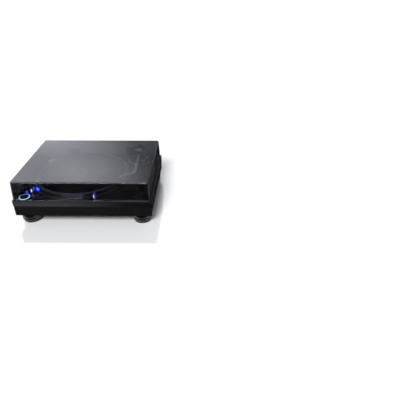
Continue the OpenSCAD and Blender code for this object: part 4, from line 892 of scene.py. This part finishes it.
@dataclass
class Tonearm:
    """Arm base, gimbal, S-shaped tube and counterweight."""

    base_r: float = 43.0
    base_bore: float = 31.0
    plate_top: float = 114.0
    arch_r: float = 22.0
    arch_bore: float = 17.0
    arch_bridge: float = 3.5
    arch_depth: float = 8.0
    cap_r: float = 10.5
    cap_t: float = 2.5
    cap_stand: float = 0.9
    hoop_r: float = 12.5
    hoop_bore: float = 10.2
    hoop_half: float = 4.0
    tube_r: float = 5.0
    tube_start: float = 9.0
    main_len: float = 133.897
    cross_len: float = 8.35
    bend_r: float = 36.0
    head_len: float = 10.0
    splay: float = 17.4
    cross: float = 42.0
    offset: float = 22.0
    sweep: float = 33.0
    yoke_r: float = 8.2
    yoke_half: float = 11.0
    weight_r: float = 14.5
    weight_bore: float = 4.1
    weight_ends: Point = (-52.0, -28.0)
    dial_ends: Point = (-27.7, -22.7)
    collet_ends: Point = (-5.0, 8.0)
    knob_r: float = 8.0

    @property
    def pivot(self) -> Vector:
        """Gives the middle of the gimbal."""
        return pivot_of("arm_yaw")

    @property
    def heading(self) -> float:
        """Gives the heading of the arm at rest, which its clip swings about."""
        return heading_of("clip_swing")

    @property
    def main(self) -> Matrix:
        """Gives the place of the gimbal's middle, turned so that the arm points along +X."""
        return at(*self.pivot, self.heading)

    @property
    def foot(self) -> Matrix:
        """Gives the place under the gimbal's middle."""
        return at(self.pivot.x, self.pivot.y, 0)

    def build(self) -> None:
        """Makes the pieces of the arm, from its base to its collet."""
        self._base()
        self._arch()
        self._gimbal()
        self._tube()
        self._weight()
        self._dial()
        self._collet()
        self._knob()

    def _base(self) -> None:
        """Makes the arm base with its stepped edge, and the marks of the height ring."""
        low, top = (corner.z for corner in box_of("arm_base"))
        r, bore = self.base_r, self.base_bore
        base = Former()
        base.spun([(bore, low), (r, low), (r, low + 2), (r - 1, low + 2.4), (r - 1.6, top), (bore, top)],
                  self.foot, {2: 0.4, 4: 0.5}, closed=True)
        base.done("arm_base_ring", "plinth", [DARK_METAL], ["arm_base"])
        ring = box_of("height_ring")
        marks = Former()
        marks.studs(72, outward(ring.radius, ring.low.z + 1), self.foot, 0.6, 0.16, 4, (1.0, 0.4, 1.0))
        marks.done("height_marks", "height_ring", [BLACK_ENAMEL])

    def _arch(self) -> None:
        """Makes the arch that holds the upper pivot, with the pivot's domed cap."""
        top = box_of("gimbal_arch").high.z
        rise = top - self.plate_top - self.cap_stand
        outer, inner, under, r = self.arch_r, self.arch_bore, rise - self.arch_bridge, self.cap_r
        place = at(self.pivot.x, self.pivot.y, self.plate_top, self.heading - self.sweep / 2 - 90) \
            @ Matrix.Rotation(math.radians(90), 4, "X") @ at(0, 0, -self.arch_depth / 2)
        arch = Former()
        arch.plate([(outer, 0), (outer, rise), (-outer, rise), (-outer, 0), (-inner, 0), (-inner, under),
                    (inner, under), (inner, 0)],
                   self.arch_depth, place, 0.9, {1: 9.0, 2: 9.0, 5: 5.0, 6: 5.0})
        arch.spun([(0, top), (r * 0.35, top - 0.1), (r * 0.65, top - 0.35), (r - 0.6, top - 0.8),
                   (r, top - 1.3), (r, top - self.cap_t), (0, top - self.cap_t)],
                  self.foot, {1: 1.5, 2: 1.5, 3: 0.4}, finish=1, steps=64)
        arch.done("gimbal_bridge", "carriage", [SATIN_METAL, SILVER_PAINT], ["gimbal_arch"])

    def _gimbal(self) -> None:
        """Makes the gimbal ring and its upright pivots."""
        low, top = (corner.z - self.pivot.z for corner in box_of("gimbal_ring"))
        r, bore, half = self.hoop_r, self.hoop_bore, self.hoop_half
        ring = Former()
        ring.spun([(bore, -half), (r, -half), (r, half), (bore, half)], self.main @ LYING,
                  {0: 0.3, 1: 0.8, 2: 0.8, 3: 0.3}, closed=True)
        ring.spun([(0, bore + 1), (1.5, bore + 1), (1.5, top), (0, top)], self.main, {2: 0.3}, finish=1,
                  steps=32)
        ring.spun([(0, low), (2.0, low), (2.0, -bore - 3), (3.4, -bore - 2), (3.4, -bore - 1),
                   (0, -bore - 1)], self.main, {3: 0.4}, finish=1, steps=32)
        ring.done("gimbal_hoop", "gimbal", [SATIN_METAL, STEEL], ["gimbal_ring"])

    def _tube(self) -> None:
        """Makes the S-shaped tube with its yoke."""
        r, half = self.yoke_r, self.yoke_half
        tube = Former()
        tube.tube(self.tube_r, [
            (self.main_len - self.tube_start, 0), (self.bend_r, -self.splay - self.cross),
            (self.cross_len, 0), (self.bend_r, self.cross - self.offset), (self.head_len, 0),
        ], self.main @ at(self.tube_start, 0, 0))
        tube.spun([(0, -half), (r - 1.8, -half), (r, 1.6 - half), (r, half - 3), (r - 1.0, half - 1.5),
                   (r - 2.6, half), (0, half)],
                  self.main @ LYING, {1: 0.4, 2: 0.6, 3: 0.8, 4: 0.8}, finish=1)
        tube.done("arm_s_tube", "arm", [SILVER_PAINT, DARK_METAL], ["arm_tube"])

    def _weight(self) -> None:
        """Makes the knurled counterweight."""
        rear, front = self.weight_ends
        r, bore, place = self.weight_r, self.weight_bore, self.main @ LYING
        weight = Former()
        weight.spun([
            (bore, rear), (r - 3, rear), (r - 2.4, rear + 0.6), (r - 0.4, rear + 1.2), (r - 0.4, rear + 9),
            (r - 0.9, rear + 9.5), (r - 0.9, rear + 11), (r, rear + 11.5), (r, front - 1), (r - 1, front),
            (bore, front),
        ], place, {2: 0.5, 3: 0.6, 8: 0.4, 9: 0.4}, closed=True)
        weight.studs(60, outward(r - 0.45, rear + 5), place, 1.0, 0.6, 4, (4.4, 0.42, 1.0))
        weight.done("knurled_weight", "counterweight", [DARK_METAL], ["counterweight"])

    def _dial(self) -> None:
        """Makes the force dial with its short and long marks."""
        rear, front = self.dial_ends
        r, bore, place = self.weight_r - 0.5, self.weight_bore, self.main @ LYING
        dial = Former()
        dial.spun([(bore, rear), (r, rear), (r, front - 1.2), (r - 1.2, front), (bore, front)], place,
                  {1: 0.2, 2: 0.4, 3: 0.4}, closed=True)
        dial.studs(40, outward(r, rear + 1.4), place, 0.7, 0.14, 4, (1.0, 0.32, 1.0), finish=1)
        dial.studs(8, outward(r, rear + 2.0), place, 0.7, 0.16, 4, (2.2, 0.5, 1.0), finish=1)
        dial.done("force_dial_ring", "force_dial", [BLACK_ABS, PRINT], ["force_dial"])

    def _collet(self) -> None:
        """Makes the grooved collet that holds the headshell."""
        rear, front = self.collet_ends
        r, bore = self.tube_r + 2, self.tube_r + 0.05
        place = at(*pivot_of("collet_turn"), heading_of("collet_turn")) @ LYING
        collet = Former()
        collet.spun([
            (bore, rear), (r - 0.9, rear), (r, rear + 1), (r, -0.6), (r - 0.6, -0.2), (r - 0.6, 0.8),
            (r, 1.2), (r, front - 1), (r - 0.8, front), (bore, front),
        ], place, {1: 0.3, 2: 0.4, 7: 0.4, 8: 0.3}, steps=64, closed=True)
        collet.studs(28, outward(r, 4.2), place, 1.0, 0.4, 4, (2.4, 0.4, 1.0))
        collet.done("headshell_nut", "collet", [SATIN_METAL], ["headshell_collet"])

    def _knob(self) -> None:
        """Makes the anti-skate knob with its mark."""
        axis = pivot_of("anti_skate_turn")
        low, top = (corner.z for corner in box_of("anti_skate_knob"))
        foot, r, place = self.plate_top + 0.3, self.knob_r, at(axis.x, axis.y, 0)
        knob = Former()
        knob.spun([
            (0, top - 0.4), (r * 0.55, top - 0.4), (r * 0.6, top), (r - 1.2, top), (r - 0.3, top - 1),
            (r - 0.3, foot), (2.5, foot), (2.5, low), (0, low),
        ], place, {3: 0.3, 4: 0.4}, steps=64)
        knob.studs(36, outward(r - 0.3, foot + 3), place, 1.0, 0.5, 4, (2.6, 0.4, 1.0))
        knob.block((3.0, 0.6, 0.1), at(axis.x, axis.y - r + 2.6, top - 0.02, 90), 0.0, finish=1)
        knob.done("anti_skate_cap", "anti_skate", [SATIN_METAL, BLACK_ENAMEL],
                  ["anti_skate_knob"])


@dataclass
class Studio:
    """Camera, white floor and soft light: eye in millimetres, floor in metres, directions as parts of 1."""

    eye: Size = (398.6, -1268.7, 773.3)
    pitch: float = 31.57
    yaw: float = 0.84
    roll: float = -0.16
    lens: float = 36.225
    floor_half: float = 30.0
    floor_mirror: float = 0.26
    mirror_end: float = -0.275
    mirror_fade: float = 0.006
    # Height of the cards that paint dark reflections, and the clear strip left in the front card
    card_lift: float = 0.001
    strip_at: float = -0.316
    strip_clear: float = 1.0
    key_level: float = 3.8
    key_spread: float = 20.0
    key_height: float = 43.0
    key_side: float = 10.0
    even: float = 0.35
    front: float = 0.12
    slant: float = -0.3
    window_span: Point = (-0.632, -0.132)
    window: tuple[Point, ...] = ((0.16, 0.9), (0.32, 1.15), (0.5, 0.85), (0.72, 0.26), (0.82, 0.15))
    window_low: float = 1.3
    window_high: float = 2.05
    glint: float = 26.0
    glint_way: Size = (-0.33, -0.66, 0.67)

    def build(self) -> None:
        """Sets up the view and the light."""
        self._camera()
        self._floor()
        self._lamp()
        self._world()
        bpy.context.scene.view_settings.view_transform = "Standard"

    def _camera(self) -> None:
        """Puts the camera where the photograph was taken from."""
        data = bpy.data.cameras.new("view")
        data.lens = self.lens
        data.sensor_width = 36.0
        data.clip_end = 200.0
        camera = bpy.data.objects.new("view", data)
        bpy.context.scene.collection.objects.link(camera)
        camera.matrix_world = Matrix.Translation(Vector(self.eye) * MM) \
            @ Matrix.Rotation(math.radians(self.yaw), 4, "Z") \
            @ Matrix.Rotation(math.radians(90 - self.pitch), 4, "X") \
            @ Matrix.Rotation(math.radians(self.roll), 4, "Z")
        bpy.context.scene.camera = camera

    def _floor(self) -> None:
        """Lays the white floor, which mirrors the plinth faintly, and the dark cards beside the plinth that
        only reflections show: painted dark reflections on the plinth and the cover.
        """
        material = bpy.data.materials.new("white_floor")
        tree = empty_tree(material)
        matt = add_node(tree, "ShaderNodeBsdfDiffuse", {"Color": (0.95, 0.95, 0.95, 1)})
        mirror = add_node(tree, "ShaderNodeBsdfGlossy", {"Color": (1, 1, 1, 1), "Roughness": 0.0})
        place = add_node(tree, "ShaderNodeTexCoord", {}).outputs["Object"]
        split = add_node(tree, "ShaderNodeSeparateXYZ", {}, {"Vector": place})
        share = add_node(tree, "ShaderNodeMapRange", {
            "From Min": self.mirror_end, "From Max": self.mirror_end + self.mirror_fade,
            "To Max": self.floor_mirror,
        }, {"Value": split.outputs["Y"]})
        both = add_node(tree, "ShaderNodeMixShader", {},
                        {0: share.outputs[0], 1: matt.outputs[0], 2: mirror.outputs[0]})
        add_node(tree, "ShaderNodeOutputMaterial", {}, {"Surface": both.outputs[0]})
        self._sheet("floor", (0, 0, 0), (self.floor_half, self.floor_half), material)
        for name, spot, half, strip in (("painted_reflection_front", (0, -1.68), (2.5, 1.5), True),
                                        ("painted_reflection_right", (1.24, 1.3), (1.0, 1.47), False)):
            card = self._sheet(name, (*spot, self.card_lift), half, self._painted_reflection_material(name, strip))
            # Only glossy rays see the cards: they paint dark reflections on the plinth and the cover
            card.visible_camera = card.visible_diffuse = False
            card.visible_shadow = card.visible_transmission = False

    def _painted_reflection_material(self, name: str, strip: bool) -> bpy.types.Material:
        """Makes the material of a card that paints a dark reflection: dark above and clear from below.

        Args:
            name: Name of the card.
            strip: Whether the near strip on the left stays clear, so that the plinth mirrors white floor
                there: a bright band left in the painted dark reflection.

        Returns:
            The new material.
        """
        material = bpy.data.materials.new(name)
        tree = empty_tree(material)
        dark = add_node(tree, "ShaderNodeBsdfDiffuse", {"Color": (0.004, 0.004, 0.004, 1)})
        clear = add_node(tree, "ShaderNodeBsdfTransparent", {})
        gone = add_node(tree, "ShaderNodeNewGeometry", {}).outputs["Backfacing"]
        if strip:
            place = add_node(tree, "ShaderNodeTexCoord", {}).outputs["Object"]
            split = add_node(tree, "ShaderNodeSeparateXYZ", {}, {"Vector": place})
            away = add_node(tree, "ShaderNodeMath", {"operation": "SUBTRACT", 1: self.strip_at},
                            {0: split.outputs["Y"]})
            apart = add_node(tree, "ShaderNodeMath", {"operation": "ABSOLUTE"}, {0: away.outputs[0]})
            near = add_node(tree, "ShaderNodeMapRange", {"From Min": 0.045, "From Max": 0.02},
                            {"Value": apart.outputs[0]})
            left = add_node(tree, "ShaderNodeMapRange", {
                "From Min": 0.12, "From Max": -0.12, "To Max": self.strip_clear,
            }, {"Value": split.outputs["X"]})
            bare = add_node(tree, "ShaderNodeMath", {"operation": "MULTIPLY"},
                            {0: near.outputs[0], 1: left.outputs[0]})
            gone = add_node(tree, "ShaderNodeMath", {"operation": "MAXIMUM"},
                            {0: gone, 1: bare.outputs[0]}).outputs[0]
        both = add_node(tree, "ShaderNodeMixShader", {}, {0: gone, 1: dark.outputs[0], 2: clear.outputs[0]})
        add_node(tree, "ShaderNodeOutputMaterial", {}, {"Surface": both.outputs[0]})
        return material

    def _sheet(self, name: str, spot: Size, half: Point, material: bpy.types.Material) -> bpy.types.Object:
        """Lays a flat sheet that is part of the stage.

        Args:
            name: Name of the sheet.
            spot: Its middle, in metres.
            half: Half its width and half its length, in metres.
            material: Its material.

        Returns:
            The new object.
        """
        mesh = bmesh.new()
        bmesh.ops.create_grid(mesh, x_segments=1, y_segments=1, size=1.0)
        bmesh.ops.scale(mesh, verts=mesh.verts[:], vec=(*half, 1))
        bmesh.ops.translate(mesh, verts=mesh.verts[:], vec=spot)
        data = bpy.data.meshes.new(name)
        mesh.to_mesh(data)
        mesh.free()
        data.materials.append(material)
        sheet = bpy.data.objects.new(name, data)
        bpy.context.scene.collection.objects.link(sheet)
        return sheet

    def _lamp(self) -> None:
        """Shines a soft even light from the left front."""
        data = bpy.data.lights.new("key", "SUN")
        data.energy = self.key_level
        data.angle = math.radians(self.key_spread)
        lamp = bpy.data.objects.new("key", data)
        lamp.rotation_euler = (math.radians(90 - self.key_height), 0, math.radians(-self.key_side))
        lamp.visible_glossy = False
        bpy.context.scene.collection.objects.link(lamp)

    def _world(self) -> None:
        """Makes the surroundings: white to the eye and to the floor's mirror, plain light to all else."""
        world = bpy.data.worlds.new("studio")
        tree = empty_tree(world)
        way = add_node(tree, "ShaderNodeTexCoord", {}).outputs["Generated"]
        ray = add_node(tree, "ShaderNodeLightPath", {}).outputs
        inside = add_node(tree, "ShaderNodeMath", {"operation": "MULTIPLY_ADD"}, {
            0: self._glint(tree, way), 1: ray["Is Transmission Ray"], 2: self._sky(tree, way)})
        even = add_node(tree, "ShaderNodeMix", {"data_type": "FLOAT", 3: self.even},
                        {0: ray["Is Diffuse Ray"], 2: inside.outputs[0]})
        light = add_node(tree, "ShaderNodeBackground", {"Color": (0.94, 0.96, 1.02, 1)},
                         {"Strength": even.outputs[0]})
        white = add_node(tree, "ShaderNodeBackground", {"Color": (1, 1, 1, 1), "Strength": 1.0})
        seen = add_node(tree, "ShaderNodeMath", {"operation": "MAXIMUM"},
                        {0: ray["Is Camera Ray"], 1: ray["Is Singular Ray"]})
        mixed = add_node(tree, "ShaderNodeMixShader", {},
                         {0: seen.outputs[0], 1: light.outputs[0], 2: white.outputs[0]})
        add_node(tree, "ShaderNodeOutputWorld", {}, {"Surface": mixed.outputs[0]})
        bpy.context.scene.world = world

    def _sky(self, tree: Tree, way: Socket) -> Socket:
        """Adds the light all round: a soft slanting window at the left rear, dim in front, bright above.

        Args:
            tree: Node tree of the world.
            way: Direction that is looked in.

        Returns:
            Level of the light.
        """
        split = add_node(tree, "ShaderNodeSeparateXYZ", {}, {"Vector": way})
        slanted = add_node(tree, "ShaderNodeVectorMath", {"operation": "DOT_PRODUCT", 1: (1, 0, self.slant)},
                           {0: way})
        across = add_node(tree, "ShaderNodeMapRange", {
            "From Min": self.window_span[0], "From Max": self.window_span[1],
        }, {"Value": slanted.outputs["Value"]})
        window = add_node(tree, "ShaderNodeValToRGB", {}, {"Fac": across.outputs[0]})
        steps = window.color_ramp.elements
        steps[0].position, steps[1].position = self.window[0][0], self.window[-1][0]
        for position, _ in self.window[1:-1]:
            steps.new(position)
        for step, (_, level) in zip(steps, self.window):
            step.color = (level, level, level, 1)
        rise = add_node(tree, "ShaderNodeMapRange", {
            "From Min": 0.38, "From Max": 0.50, "To Min": self.window_low, "To Max": self.window_high,
        }, {"Value": split.outputs["Z"]})
        side = add_node(tree, "ShaderNodeMath", {"operation": "MULTIPLY"},
                        {0: window.outputs["Color"], 1: rise.outputs[0]})
        rear = add_node(tree, "ShaderNodeMapRange", {
            "interpolation_type": "SMOOTHSTEP", "From Min": -0.2, "From Max": 0.5,
        }, {"Value": split.outputs["Y"]})
        above = add_node(tree, "ShaderNodeMapRange", {"From Min": 0.3, "From Max": 1.0, "To Min": self.front},
                         {"Value": split.outputs["Z"]})
        return add_node(tree, "ShaderNodeMix", {"data_type": "FLOAT"},
                        {0: rear.outputs[0], 2: above.outputs[0], 3: side.outputs[0]}).outputs[0]

    def _glint(self, tree: Tree, way: Socket) -> Socket:
        """Adds the lamp at the left front that lights what stands under the cover.

        Args:
            tree: Node tree of the world.
            way: Direction that is looked in.

        Returns:
            Level of the light.
        """
        facing = add_node(tree, "ShaderNodeVectorMath", {"operation": "DOT_PRODUCT", 1: self.glint_way},
                          {0: way})
        return add_node(tree, "ShaderNodeMapRange", {
            "interpolation_type": "SMOOTHSTEP", "From Min": 0.90, "From Max": 0.97, "To Max": self.glint,
        }, {"Value": facing.outputs["Value"]}).outputs[0]


def main() -> None:
    """Builds the studio and each sub-assembly."""
    logging.basicConfig(level=logging.INFO, format="%(name)s: %(message)s")
    Studio().build()
    plinth = Plinth()
    plinth.dress()
    for part in (plinth, Cover(), Platter(), Feet(), Controls(), Tonearm()):
        part.build()
        LOG.info("%s built", type(part).__name__)


if __name__ == "__main__":
    main()
